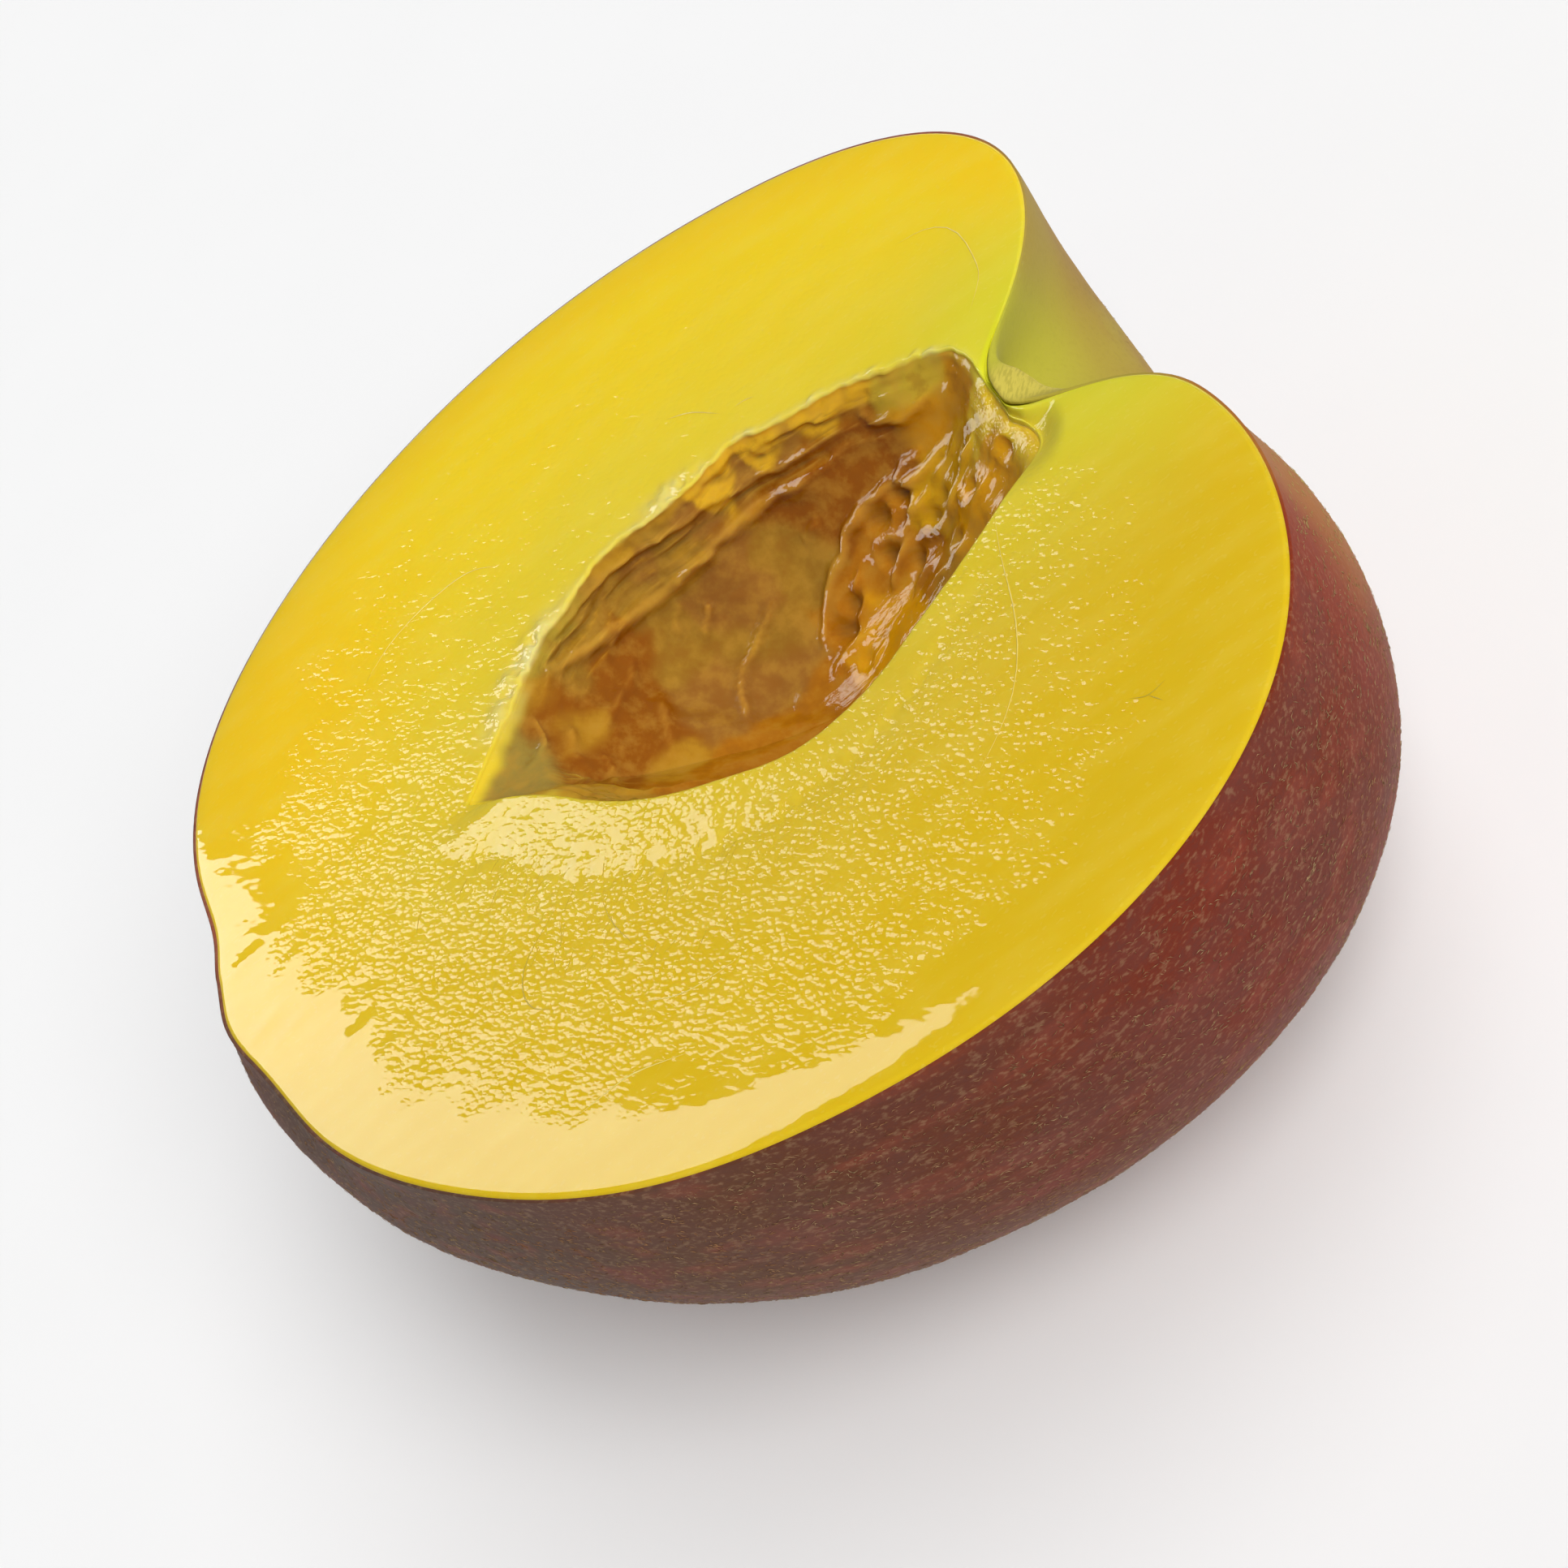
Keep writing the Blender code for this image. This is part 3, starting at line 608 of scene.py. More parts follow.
# Where each tone lies in the hollow: how far it reaches, and the places that it lies round.
LINING = (
    (RUST, 2.0, (10.9, 8.6, -5.5), (14.2, 7.9, -5.1), (16.8, 7.7, -4.0)),
    (UMBER, 1.8, (3.1, 8.0, -7.0), (-1.9, 3.9, -9.3), (1.8, 4.0, -11.2)),
    (OLIVE_BROWN, 1.6, (7.5, 8.0, -7.8), (-2.3, 6.7, -7.4), (2.2, 5.6, -10.0)),
    (RUST, 1.8, (-5.6, 3.5, -6.0), (-9.9, 3.4, -2.2), (-7.9, -0.2, -5.7),
     (-5.1, 7.0, -4.5)),
    (HONEY, 1.2, (-9.2, 2.3, -3.3), (-5.5, -1.9, -7.2), (-10.1, 4.5, -1.0)),
    (AMBER, 1.6, (-1.4, -3.2, -9.8), (1.7, -0.8, -11.7), (4.1, 0.1, -12.5),
     (-4.0, -4.5, -7.4)),
    (OLIVE_BROWN, 1.3, (1.2, 9.7, -3.9), (-1.9, 9.5, -4.1), (-5.7, 8.1, -2.3),
     (-8.1, 6.6, -1.8)),
    (UMBER, 0.8, (-0.6, 10.2, -2.9), (3.8, 10.6, -2.6), (7.6, 11.4, -2.2),
     (11.1, 10.6, -1.9)),
    (LIT_HONEY, 1.0, (6.6, 11.6, -0.9), (10.4, 11.2, -1.0), (14.3, 10.3, -0.6),
     (17.4, 9.3, -1.0)),
    (OLIVE_TAN, 1.4, (19.5, 8.1, -1.5), (21.1, 7.2, -1.5)),
    (ORANGE_AMBER, 1.3, (22.9, 4.9, -1.6), (20.8, 6.2, -2.8), (19.1, 6.8, -3.4)),
    (GOLDEN_AMBER, 1.1, (17.1, 3.6, -6.9), (21.0, 2.5, -3.7), (19.0, 4.4, -5.3)),
    (AMBER, 1.3, (13.9, 5.9, -7.3), (14.5, 2.5, -8.9), (8.4, 4.0, -10.6),
     (12.4, 3.8, -9.4)),
    (LIT_ORANGE, 1.3, (22.5, -2.3, -2.1), (19.6, -2.2, -4.8), (11.7, 2.0, -10.4),
     (8.5, 1.1, -11.7)),
    (PALE_PULP, 1.2, (24.0, -0.4, -0.4), (23.7, 1.6, -0.8), (25.0, -2.8, -0.6),
     (24.6, -2.4, -1.0), (23.2, 1.5, -1.7), (25.6, -3.9, -0.5), (24.6, -0.5, 0.0)),
    (GREY_OLIVE, 1.5, (-12.7, 1.9, -0.8), (-14.2, 0.7, -0.6), (-16.0, 0.0, -0.3)),
    (MOSS_TAN, 1.1, (-11.2, 3.9, -0.3), (-9.0, 6.8, -0.3), (-6.6, 8.2, -0.3)),
)
drift = bowl + 0.9 * wandering(bowl, 2.6, (51.0, 53.0, 57.0)) + 0.4 * wander
drift[:, 2] += 0.35 * fibres * ease(0.35, 0.6, share)
keep_colours(flesh, "lining_tint", blend_shades(LINING, drift, 0.72))

# The near lip stays yellow a little way down; on the far side the lining starts at the edge.
skin_deep = depth + 0.25 * grain(flat, 1.5, 61.0)
in_hollow = np.where(zone == HOLLOW, far_side * ease(-0.1, 0.3, skin_deep)
                     + (1 - far_side) * ease(0.25, 0.9, skin_deep), 0)
in_hollow = np.maximum(in_hollow, 0.45 * sagging * (zone <= FACE))
keep_numbers(flesh, "rim_distance", from_rim)
keep_numbers(flesh, "hollow_distance", from_hollow)
keep_numbers(flesh, "in_hollow", in_hollow)
notch = MIDDLE + body_point(np.array([0.0]), np.array([0.0]), 0)[0, :2]
keep_numbers(flesh, "from_notch", np.linalg.norm(shape[:, :2] - notch, axis=1))
keep_numbers(flesh, "collar", inside_collar * (zone == FACE))
keep_numbers(flesh, "far_fringe", np.clip(fringe * (0.3 + 0.7 * beads) + puff, 0, 1))
keep_numbers(flesh, "cords", cords * wall)
keep_numbers(flesh, "juice", juice * wall)
keep_numbers(flesh, "pits", pitted * wall)
keep_numbers(flesh, "layers", (layer_lip - 0.35) * far_layers * wall)

# Grainy patches of the lining: how grainy, how wide, and where.
GRAINY_PATCHES = ((1.0, 2.2, (23.2, 0.8, -1.2)), (1.0, 1.6, (13.6, 5.8, -7.6)),
                  (0.7, 1.8, (-1.0, 1.8, -10.4)))
granular = sum(full * peak(np.linalg.norm(bowl - place, axis=1), wide)
               for full, wide, place in GRAINY_PATCHES)
keep_numbers(flesh, "granular", np.clip(granular * wall + sagging, 0, 1))
wrap(flesh, shape)


def node(tree, kind, inputs=None, **settings):
    """One shader node with its settings, numbers and links."""
    made = tree.nodes.new("ShaderNode" + kind)
    for name, value in settings.items():
        setattr(made, name, value)
    for socket, value in (inputs or {}).items():
        if isinstance(value, bpy.types.NodeSocket):
            tree.links.new(value, made.inputs[socket])
        else:
            made.inputs[socket].default_value = value
    return made


def new_finish(name, **numbers):
    """A material, its nodes and its shader, with the shader's plain numbers set."""
    made = bpy.data.materials.new(name)
    made.use_nodes = True
    shader = made.node_tree.nodes["Principled BSDF"]
    for socket, number in numbers.items():
        shader.inputs[socket.replace("_", " ")].default_value = number
    return made, made.node_tree, shader


def give_finish(piece, made):
    piece.data.materials.clear()
    piece.data.materials.append(made)


def attribute(tree, name):
    return node(tree, "Attribute", attribute_name=name).outputs["Fac"]


def kept_tint(tree, name):
    return node(tree, "Attribute", attribute_name=name).outputs["Color"]


def ramp(tree, value, low, high, start=0.0, end=1.0):
    """A smooth change from start to end while the value goes from low to high."""
    return node(tree, "MapRange", {0: value, 1: low, 2: high, 3: start, 4: end},
                interpolation_type="SMOOTHSTEP").outputs[0]


def mix(tree, share, first, second):
    """The first colour turning into the second as the share goes from 0 to 1."""
    return node(tree, "Mix", {0: share, 6: first, 7: second}, data_type="RGBA").outputs[2]


def maths(tree, operation, first, second):
    return node(tree, "Math", {0: first, 1: second}, operation=operation).outputs[0]


def times(tree, first, second):
    return maths(tree, "MULTIPLY", first, second)


def plus(tree, first, second):
    return maths(tree, "ADD", first, second)


def clouds(tree, size, stretch=(1, 1, 1), detail=2.0, roughness=0.5, turn=0):
    """Soft noise with lumps of about the given size in metres, stretched by axis and turned."""
    place = node(tree, "TexCoord").outputs["Object"]
    place = node(tree, "Mapping", {"Vector": place, "Scale": [size * each for each in stretch],
                                   "Rotation": (0, 0, math.radians(turn))},
                 vector_type="TEXTURE").outputs[0]
    return node(tree, "TexNoise", {"Vector": place, "Scale": 1.0, "Detail": detail,
                                   "Roughness": roughness}).outputs["Fac"]


def colour(red, green, blue):
    """A colour for a material's node."""
    return (red, green, blue, 1.0)


def lay_over(tree, base, layers):
    """Lays tones over the base, each where its value runs from low to high, up to its most."""
    for tone, most, value, low, high in layers:
        base = mix(tree, ramp(tree, value, low, high, 0.0, most), base, tone)
    return base


# Tones of the cut face: lemon round the hollow, a deeper yellow outwards, orange by the far rim and
# the tip, greenish at the stem, and pale where the far edge is torn. The near side's yellow and
# lemon are darker than the far side's, as painted shade.
LEMON, NEAR_SHADED_LEMON = colour(0.80, 0.63, 0.034), colour(0.68, 0.485, 0.030)
FAR_YELLOW = colour(0.90, 0.635, 0.012)
NEAR_SHADED_YELLOW = colour(0.73, 0.48, 0.008)
ORANGE_BAND = colour(0.93, 0.56, 0.005)
# The notch's bright yellow-green is a painted glow, standing in for light shining through the thin
# flesh there.
STEM_GREEN, NOTCH_GLOW_GREEN = colour(0.71, 0.63, 0.030), colour(0.76, 0.73, 0.015)
PALE_FRINGE = colour(0.74, 0.68, 0.30)

finish, tree, shader = new_finish(
    "wet_peach_flesh", Roughness=0.6, Specular_IOR_Level=0.0, Subsurface_Weight=0.25,
    Subsurface_Radius=(1.0, 0.55, 0.12), Subsurface_Scale=0.0022, Coat_Weight=1.0,
    Coat_Roughness=0.03, Coat_IOR=1.42)
place = node(tree, "SeparateXYZ", {0: node(tree, "TexCoord").outputs["Object"]})
along, across = place.outputs["X"], place.outputs["Y"]
rim_distance, hollow_distance = attribute(tree, "rim_distance"), attribute(tree, "hollow_distance")
in_hollow_share = attribute(tree, "in_hollow")
to_far = ramp(tree, across, -0.020, 0.024)
# Painted shade: the cut face's yellow darkens from the far side to the near side.
body_yellow = mix(tree, to_far, NEAR_SHADED_YELLOW, FAR_YELLOW)
to_tip = times(tree, ramp(tree, along, -0.012, -0.030), to_far)
by_rim = times(tree, ramp(tree, rim_distance, 1.0, 6.5, 1.0, 0.0), to_far)
orange_edge = maths(tree, "MAXIMUM", times(tree, by_rim, 0.55), times(tree, to_tip, 0.80))
body_yellow = mix(tree, orange_edge, body_yellow, ORANGE_BAND)
inner = ramp(tree, hollow_distance, 2.0, 17.0, 0.85, 0.0)
inner = times(tree, inner, ramp(tree, clouds(tree, 0.012), 0.25, 0.7, 0.6, 1.0))
body_yellow = mix(tree, inner, body_yellow, mix(tree, to_far, NEAR_SHADED_LEMON, LEMON))
stem_side = times(tree, ramp(tree, attribute(tree, "from_notch"), 7.0, 20.0, 1.0, 0.0),
                  ramp(tree, rim_distance, 0.0, 9.0, 1.0, 0.4))
body_yellow = mix(tree, stem_side, body_yellow, STEM_GREEN)
streaks = clouds(tree, 0.0016, (3.5, 1, 1), detail=3.0)
specks = clouds(tree, 0.00022, (1.6, 1, 1), detail=0.0)
body_yellow = lay_over(tree, body_yellow, ((colour(0.92, 0.78, 0.16), 0.10, streaks, 0.35, 0.75),
                                           (colour(0.92, 0.80, 0.24), 0.07, specks, 0.66, 0.78)))
# Painted glow: the thin flesh at the notch's edge is painted bright yellow-green for light shining
# through it.
notch_glow = times(tree, ramp(tree, attribute(tree, "from_notch"), 9.0, 4.0),
                   ramp(tree, rim_distance, 0.40, 0.10))
body_yellow = mix(tree, notch_glow, body_yellow, NOTCH_GLOW_GREEN)
fringe_share = times(tree, attribute(tree, "far_fringe"),
                     ramp(tree, clouds(tree, 0.0022, detail=3.0), 0.35, 0.6, 0.20, 0.75))
body_yellow = mix(tree, fringe_share, body_yellow, PALE_FRINGE)

blotches = clouds(tree, 0.0016, detail=4.0, roughness=0.6)
cord_height, layer_edge = attribute(tree, "cords"), attribute(tree, "layers")
# Over the lining's own tones come random blotches, then painted light and shade on the relief: paler
# on the crests of the cords and the lips of the layers, darker in the furrows, under the lips and in
# the pits.
lining = lay_over(tree, kept_tint(tree, "lining_tint"), (
    (colour(0.52, 0.27, 0.030), 0.40, blotches, 0.42, 0.68),
    (colour(0.26, 0.085, 0.006), 0.35, blotches, 0.50, 0.30),
    (colour(0.62, 0.32, 0.035), 0.45, cord_height, 0.2, 0.6),
    (colour(0.30, 0.15, 0.015), 0.5, cord_height, -0.1, -0.4),
    (colour(0.66, 0.36, 0.045), 0.45, layer_edge, 0.10, 0.40),
    (colour(0.27, 0.13, 0.012), 0.45, layer_edge, -0.10, -0.30),
    (colour(0.24, 0.095, 0.010), 0.5, attribute(tree, "pits"), 0.2, 0.7)))
tree.links.new(mix(tree, in_hollow_share, body_yellow, lining), shader.inputs["Base Color"])

# The torn pulp: fine beads, longer along the cut, that fade out towards the smooth rim.
GRAIN_TURN = -42            # the way that the grain of the torn pulp runs, from the stem line
BEAD_SIZE = (0.00053, 0.00041, 0.00047)
TORN_HEIGHT, LINING_HEIGHT = 0.000090, 0.00018
beaded = node(tree, "Mapping", {"Vector": node(tree, "TexCoord").outputs["Object"],
                                "Scale": BEAD_SIZE,
                                "Rotation": (0, 0, math.radians(GRAIN_TURN))},
              vector_type="TEXTURE").outputs[0]
beaded = node(tree, "TexVoronoi", {"Vector": beaded, "Scale": 1.0}).outputs["Distance"]
beaded = times(tree, maths(tree, "POWER", beaded, 2.0), -1.0)
fine = clouds(tree, 0.00040, (1.2, 0.9, 1), detail=1.0, roughness=0.4, turn=GRAIN_TURN)
coarse = clouds(tree, 0.0010, (1.2, 0.9, 1), detail=1.0, turn=GRAIN_TURN)
ragged = ramp(tree, clouds(tree, 0.0045, (2.2, 0.8, 1), detail=3.0), 0.3, 0.7, -2.2, 2.2)
ragged = plus(tree, ragged, rim_distance)
near_stone = times(tree, ramp(tree, hollow_distance, 9.0, 3.0, 0.0, 0.75),
                   ramp(tree, across, 0.000, -0.008))
mottled = clouds(tree, 0.0013, (1.4, 0.9, 1), detail=3.0, turn=GRAIN_TURN)
torn_face = ramp(tree, ragged, 4.4, 10.3)
for share_left in (ramp(tree, attribute(tree, "collar"), 0.0, 1.0, 1.0, 0.34),
                   ramp(tree, across, 0.003, 0.013, 1.0, 0.42),
                   ramp(tree, along, 0.004, 0.024, 1.0, 0.62),
                   plus(tree, near_stone, 1.0),
                   ramp(tree, mottled, 0.38, 0.56, 0.25, 1.15),
                   plus(tree, times(tree, in_hollow_share, -0.85), 1.0)):
    torn_face = times(tree, torn_face, share_left)
heights = plus(tree, times(tree, fine, 0.35), times(tree, coarse, 0.6))
heights = times(tree, plus(tree, heights, beaded), torn_face)
swells = clouds(tree, 0.0022, (1.5, 0.8, 1), detail=2.0, turn=GRAIN_TURN)
heights = plus(tree, heights, times(tree, swells, 0.3))
wet = node(tree, "Bump", {"Strength": 1.0, "Distance": TORN_HEIGHT, "Height": heights})
lined = times(tree, clouds(tree, 0.00055, (5, 1, 1), detail=3.0), 0.5)
grainy = ramp(tree, attribute(tree, "granular"), 0.1, 0.8, 0.04, 0.9)
lined = plus(tree, lined, times(tree, clouds(tree, 0.00027, detail=1.0), grainy))
wet_lining = node(tree, "Bump", {"Strength": 1.0, "Distance": LINING_HEIGHT,
                                 "Height": times(tree, lined, in_hollow_share),
                                 "Normal": wet.outputs[0]})
# Juice lies level in the hollow, so its film faces up more than the flesh under it does.
JUICE_LEVEL, JUICE_WAY = 0.45, (-0.12, -0.17, 1.0)
RUN_LEVEL, RUN_WAY = 9.0, (-0.15, -0.20, 1.0)
pooled = plus(tree, ramp(tree, cord_height, 0.25, 0.8, 0.0, 0.5), JUICE_LEVEL)
pooled = plus(tree, pooled, ramp(tree, layer_edge, 0.05, 0.30, 0.0, 3.0))
broken = ramp(tree, clouds(tree, 0.00045), 0.36, 0.52)
run = times(tree, times(tree, ramp(tree, attribute(tree, "juice"), 0.25, 0.7), broken), RUN_LEVEL)
film = wet_lining
for way, level in ((JUICE_WAY, times(tree, in_hollow_share, pooled)), (RUN_WAY, run)):
    leaning = node(tree, "VectorMath", {0: way, "Scale": level}, operation="SCALE")
    film = node(tree, "VectorMath", {0: film.outputs[0], 1: leaning.outputs[0]}, operation="ADD")
film = node(tree, "VectorMath", {0: film.outputs[0]}, operation="NORMALIZE")
tree.links.new(film.outputs[0], shader.inputs["Coat Normal"])
give_finish(flesh, finish)
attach(flesh, "root")
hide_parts("peach_half")

# ---------------------------------------------------------------------------------------------
# Fibres in the cut.  Thin strands of the flesh that the knife laid flat on the cut face, pale
# where they are wet and olive where they are dry, and a few short scratches by the collar.
# ---------------------------------------------------------------------------------------------
PALE, OLIVE = shade(0.90, 0.74, 0.20), shade(0.54, 0.40, 0.025)
STRAND_RAISED, STRAND_FLATNESS = 0.01, 0.6
# Colour and width of each long strand, and the places that it passes on the cut face.
STRANDS = (
    (PALE, 0.060, (-21.0, 15.0), (-18.0, 17.0), (-14.0, 18.0), (-11.0, 17.8), (-9.0, 16.5)),
    (PALE, 0.050, (5.5, 18.0), (7.2, 17.0), (9.0, 15.0)),
    (PALE, 0.050, (10.0, 14.7), (10.8, 14.6), (11.5, 14.3)),
    (OLIVE, 0.050, (-13.0, -13.5), (-16.0, -16.0), (-16.5, -19.0), (-15.0, -20.5)),
    (OLIVE, 0.040, (-10.0, -15.0), (-9.8, -17.5), (-9.0, -20.0)),
    (PALE, 0.060, (-16.0, -28.5), (-13.0, -28.3), (-11.0, -28.5), (-8.0, -29.5)),
    (PALE, 0.045, (-10.0, -24.0), (-7.0, -25.5), (-3.0, -25.8)),
    (PALE, 0.045, (13.0, -25.5), (17.0, -22.0), (19.5, -17.0), (20.5, -12.0), (21.5, -8.0)),
    (PALE, 0.040, (24.0, 18.0), (26.0, 17.5), (27.8, 15.5), (28.0, 12.0), (27.5, 10.0), (26.0, 8.0)),
    (OLIVE, 0.040, (23.0, -27.0), (24.0, -27.6), (25.3, -27.4)),
    (OLIVE, 0.035, (24.0, -27.6), (24.6, -28.6)),
)
SCRATCH_COUNT = 34
SCRATCH_TURN, TURN_SPREAD = 48.0, 14    # the way the scratches run, from the stem line
SCRATCH_WIDTH = (0.018, 0.028)
SCRATCH_HALF = (0.4, 1.1)   # half the length of a scratch
SCRATCH_BOW = 0.10          # how much a scratch bends, as a share of that
SCRATCH_BEARINGS, SCRATCH_OFF = (-168, -95), (4.0, 11.0)    # round the hollow, and off its edge

clear_selection()
bpy.ops.mesh.primitive_uv_sphere_add(segments=5, ring_count=14, radius=1)
strands = bpy.context.object
model = np.array([point.co for point in strands.data.vertices])
model_faces = [np.array(face.vertices) for face in strands.data.polygons]
along_strand = np.arccos(np.clip(model[:, 2], -1, 1)) / math.pi

draw = np.random.default_rng(5)
laid = [(tone, wide, np.array(places)) for tone, wide, *places in STRANDS]
for i in range(SCRATCH_COUNT):
    bearing, off = math.radians(draw.uniform(*SCRATCH_BEARINGS)), draw.uniform(*SCRATCH_OFF)
    off += float(hollow_radius(np.array([bearing]))[0])
    middle = HOLLOW_MIDDLE + off * np.array((math.cos(bearing), math.sin(bearing)))
    heading = math.radians(draw.normal(SCRATCH_TURN, TURN_SPREAD))
    half = draw.uniform(*SCRATCH_HALF) * np.array((math.cos(heading), math.sin(heading)))
    bow = draw.normal(0, SCRATCH_BOW) * np.array((-half[1], half[0]))
    places = np.array((middle - half, middle + bow, middle + half))
    laid.append((OLIVE, draw.uniform(*SCRATCH_WIDTH), places))

# Each one is a thin flattened spindle along its own line, just above the face.
face_spots = shape[zone == FACE]
found = seen_from_above(face_spots)
spots, tones, faces = [], [], []
for tone, wide, places in laid:
    places = places + np.array(MIDDLE)
    last = len(places) - 1
    path = smooth_line(places, along_strand * last)
    heading = (smooth_line(places, np.clip(along_strand + 0.01, 0, 1) * last)
               - smooth_line(places, np.clip(along_strand - 0.01, 0, 1) * last))
    heading /= np.linalg.norm(heading, axis=1)[:, None]
    height = np.array([face_spots[found.find((x, y, 0))[1]][2] for x, y in path])
    faces += [(face + len(model) * len(spots)).tolist() for face in model_faces]
    spots.append(np.column_stack([path[:, 0] - heading[:, 1] * model[:, 0] * wide,
                                  path[:, 1] + heading[:, 0] * model[:, 0] * wide,
                                  height + STRAND_RAISED + model[:, 1] * wide * STRAND_FLATNESS]))
    tones.append(np.tile(tone, (len(model), 1)))
strands.data.clear_geometry()
strands.data.from_pydata((np.concatenate(spots) * MM).tolist(), [], faces)
strands.name = strands.data.name = "cut_fibres"
bpy.ops.object.mode_set(mode="EDIT")
bpy.ops.mesh.select_all(action="SELECT")
bpy.ops.mesh.normals_make_consistent(inside=False)
bpy.ops.object.mode_set(mode="OBJECT")
bpy.ops.object.shade_smooth()
keep_colours(strands, "strand_tint", np.concatenate(tones))
finish, tree, shader = new_finish("laid_flesh_fibre", Roughness=0.5, Specular_IOR_Level=0.2,
                                  Coat_Weight=1.0, Coat_Roughness=0.05)
strand_tone = lay_over(tree, kept_tint(tree, "strand_tint"),
                       ((colour(0.74, 0.52, 0.04), 0.5, clouds(tree, 0.0012), 0.35, 0.65),))
tree.links.new(strand_tone, shader.inputs["Base Color"])
give_finish(strands, finish)
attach(strands, "root")

# ---------------------------------------------------------------------------------------------
# Skin.  A thin dull peel, dark red where the sun reached it and olive yellow in the stem
# basin, grown to the flesh and cut level with it.
# ---------------------------------------------------------------------------------------------
SKIN_TURNS, SKIN_ROWS, SKIN_CROWDING = 360, 110, 1.25
SKIN_THICKNESS = 0.3
SKIN_TOP = 0.45             # how far below the cut the peel starts
SCAR_RISE, SCAR_REACH = 0.8, 7          # it starts higher over the stem scar, in degrees round
PEEL_LUMPS, PEEL_GRAIN = 0.10, 0.03     # unevenness of the peel, broad and fine
PEEL_SUNK, MOST_LUMP = 0.06, 0.12       # how far it lies back, and its highest lump
SKIN_BOTTOM = 0.02          # the lowest that the peel reaches


def peel_point(around, down, share):
    """The outside of the peel: the fruit's surface with a slight unevenness away from the cut."""
    spot = body_point(around, down, 0.0)
    uneven = PEEL_LUMPS * grain(spot, 9, 21.0) + PEEL_GRAIN * grain(spot, 2.5, 22.0)
    clear_of_cut = ease(0.0, 0.1, share)
    uneven = np.minimum(uneven * clear_of_cut, MOST_LUMP) - PEEL_SUNK * clear_of_cut
    return spot * (1 + uneven / np.linalg.norm(spot, axis=1))[:, None]


def degrees_from_stem(spots):
    return np.degrees(np.arccos(np.clip(spots[:, 0] / np.linalg.norm(spots, axis=1), -1, 1)))


skin, around, row = round_sheet("peach_skin_peel", SKIN_TURNS, SKIN_ROWS)
share = row / SKIN_ROWS
radius_at_rim = np.linalg.norm(body_point(around, np.zeros_like(around), 0), axis=1)
skin_top = SKIN_TOP * (1 - SCAR_RISE * peak(np.degrees(around) - 1, SCAR_REACH))
first_down = np.arcsin(skin_top / radius_at_rim)
down = first_down + (math.pi / 2 - first_down) * share ** SKIN_CROWDING
peel = peel_point(around, down, share)
peel[:, 2] = np.maximum(peel[:, 2], SKIN_BOTTOM - CUT_HEIGHT)

# Tones of the peel: the sunny cheek, the shaded tip, the stem basin, then the hidden sides.
BRIGHT_RED = shade(0.28, 0.034, 0.011)
WINE_RED = shade(0.18, 0.024, 0.010)
DEEP_RED = shade(0.15, 0.027, 0.011)
DARK_RED = shade(0.127, 0.031, 0.011)
BROWN_RED = shade(0.117, 0.048, 0.022)
GREY_BROWN = shade(0.10, 0.055, 0.036)
BASIN_YELLOW = shade(0.47, 0.444, 0.040)
BASIN_OLIVE = shade(0.43, 0.350, 0.045)
BASIN_TAN = shade(0.39, 0.273, 0.047)
APRICOT = shade(0.41, 0.190, 0.035)
COPPER = shade(0.40, 0.146, 0.028)
ROSE_RED = shade(0.31, 0.070, 0.028)
BACK_RED = shade(0.30, 0.085, 0.045)
UNDER_RED = shade(0.26, 0.100, 0.055)
# Where each tone lies on the peel: how far it reaches, and the places that it lies round.
PEEL_SHADES = (
    (COPPER, 5.0, (36.5, -16.0, -5.3), (36.7, -15.0, -9.9)),
    (BRIGHT_RED, 6.0, (34.6, -24.3, -7.6), (33.9, -26.0, -3.2)),
    (DEEP_RED, 7.0, (32.0, -28.1, -12.1), (31.6, -29.7, -6.3), (28.2, -33.4, -5.5),
     (28.2, -32.4, -11.3)),
    (WINE_RED, 9.0, (20.7, -37.7, -6.0), (23.5, -36.2, -7.8), (13.8, -39.3, -7.4),
     (15.7, -38.0, -12.6)),
    (DARK_RED, 9.0, (7.7, -39.8, -6.6), (7.2, -38.9, -12.6), (2.0, -39.4, -7.2),
     (-3.9, -38.0, -10.3)),
    (BROWN_RED, 9.0, (-12.5, -35.7, -7.4), (-17.2, -33.5, -2.9), (-11.5, -35.0, -14.6)),
    (GREY_BROWN, 9.0, (-27.5, -25.2, -7.7), (-30.9, -20.9, -3.9), (-35.6, -12.6, -4.1)),
    (BASIN_YELLOW, 4.0, (29.4, 10.3, -6.9), (26.5, 5.5, -1.2), (26.1, 6.3, -4.4),
     (31.9, 12.3, -14.8)),
    (BASIN_TAN, 4.5, (31.7, 14.3, -11.1), (32.2, 16.0, -6.2), (32.4, 14.0, -1.4)),
    (BASIN_OLIVE, 4.0, (27.5, -1.0, -5.0), (28.5, -4.5, -3.0), (30.0, -2.0, -11.0),
     (31.5, 6.0, -14.0)),
    (APRICOT, 5.0, (34.0, -9.0, -8.0), (33.5, -6.0, -15.0), (33.0, 4.0, -19.0),
     (33.5, 13.0, -19.0), (34.0, 19.0, -10.0)),
    (ROSE_RED, 8.0, (30.0, -14.0, -20.0), (28.0, 2.0, -26.0), (28.0, 16.0, -24.0),
     (29.0, 25.0, -12.0)),
    (BACK_RED, 14.0, (20.0, 30.0, -16.0), (-10.0, 34.0, -14.0), (-36.0, 6.0, -14.0)),
    (UNDER_RED, 16.0, (20.0, 8.0, -32.0), (0.0, -12.0, -36.0), (-22.0, 4.0, -30.0)),
)
drift = peel + 2.2 * wandering(peel, 7, (71.0, 73.0, 79.0))
keep_colours(skin, "peel_tint", blend_shades(PEEL_SHADES, drift))
keep_numbers(skin, "from_stem", degrees_from_stem(peel))
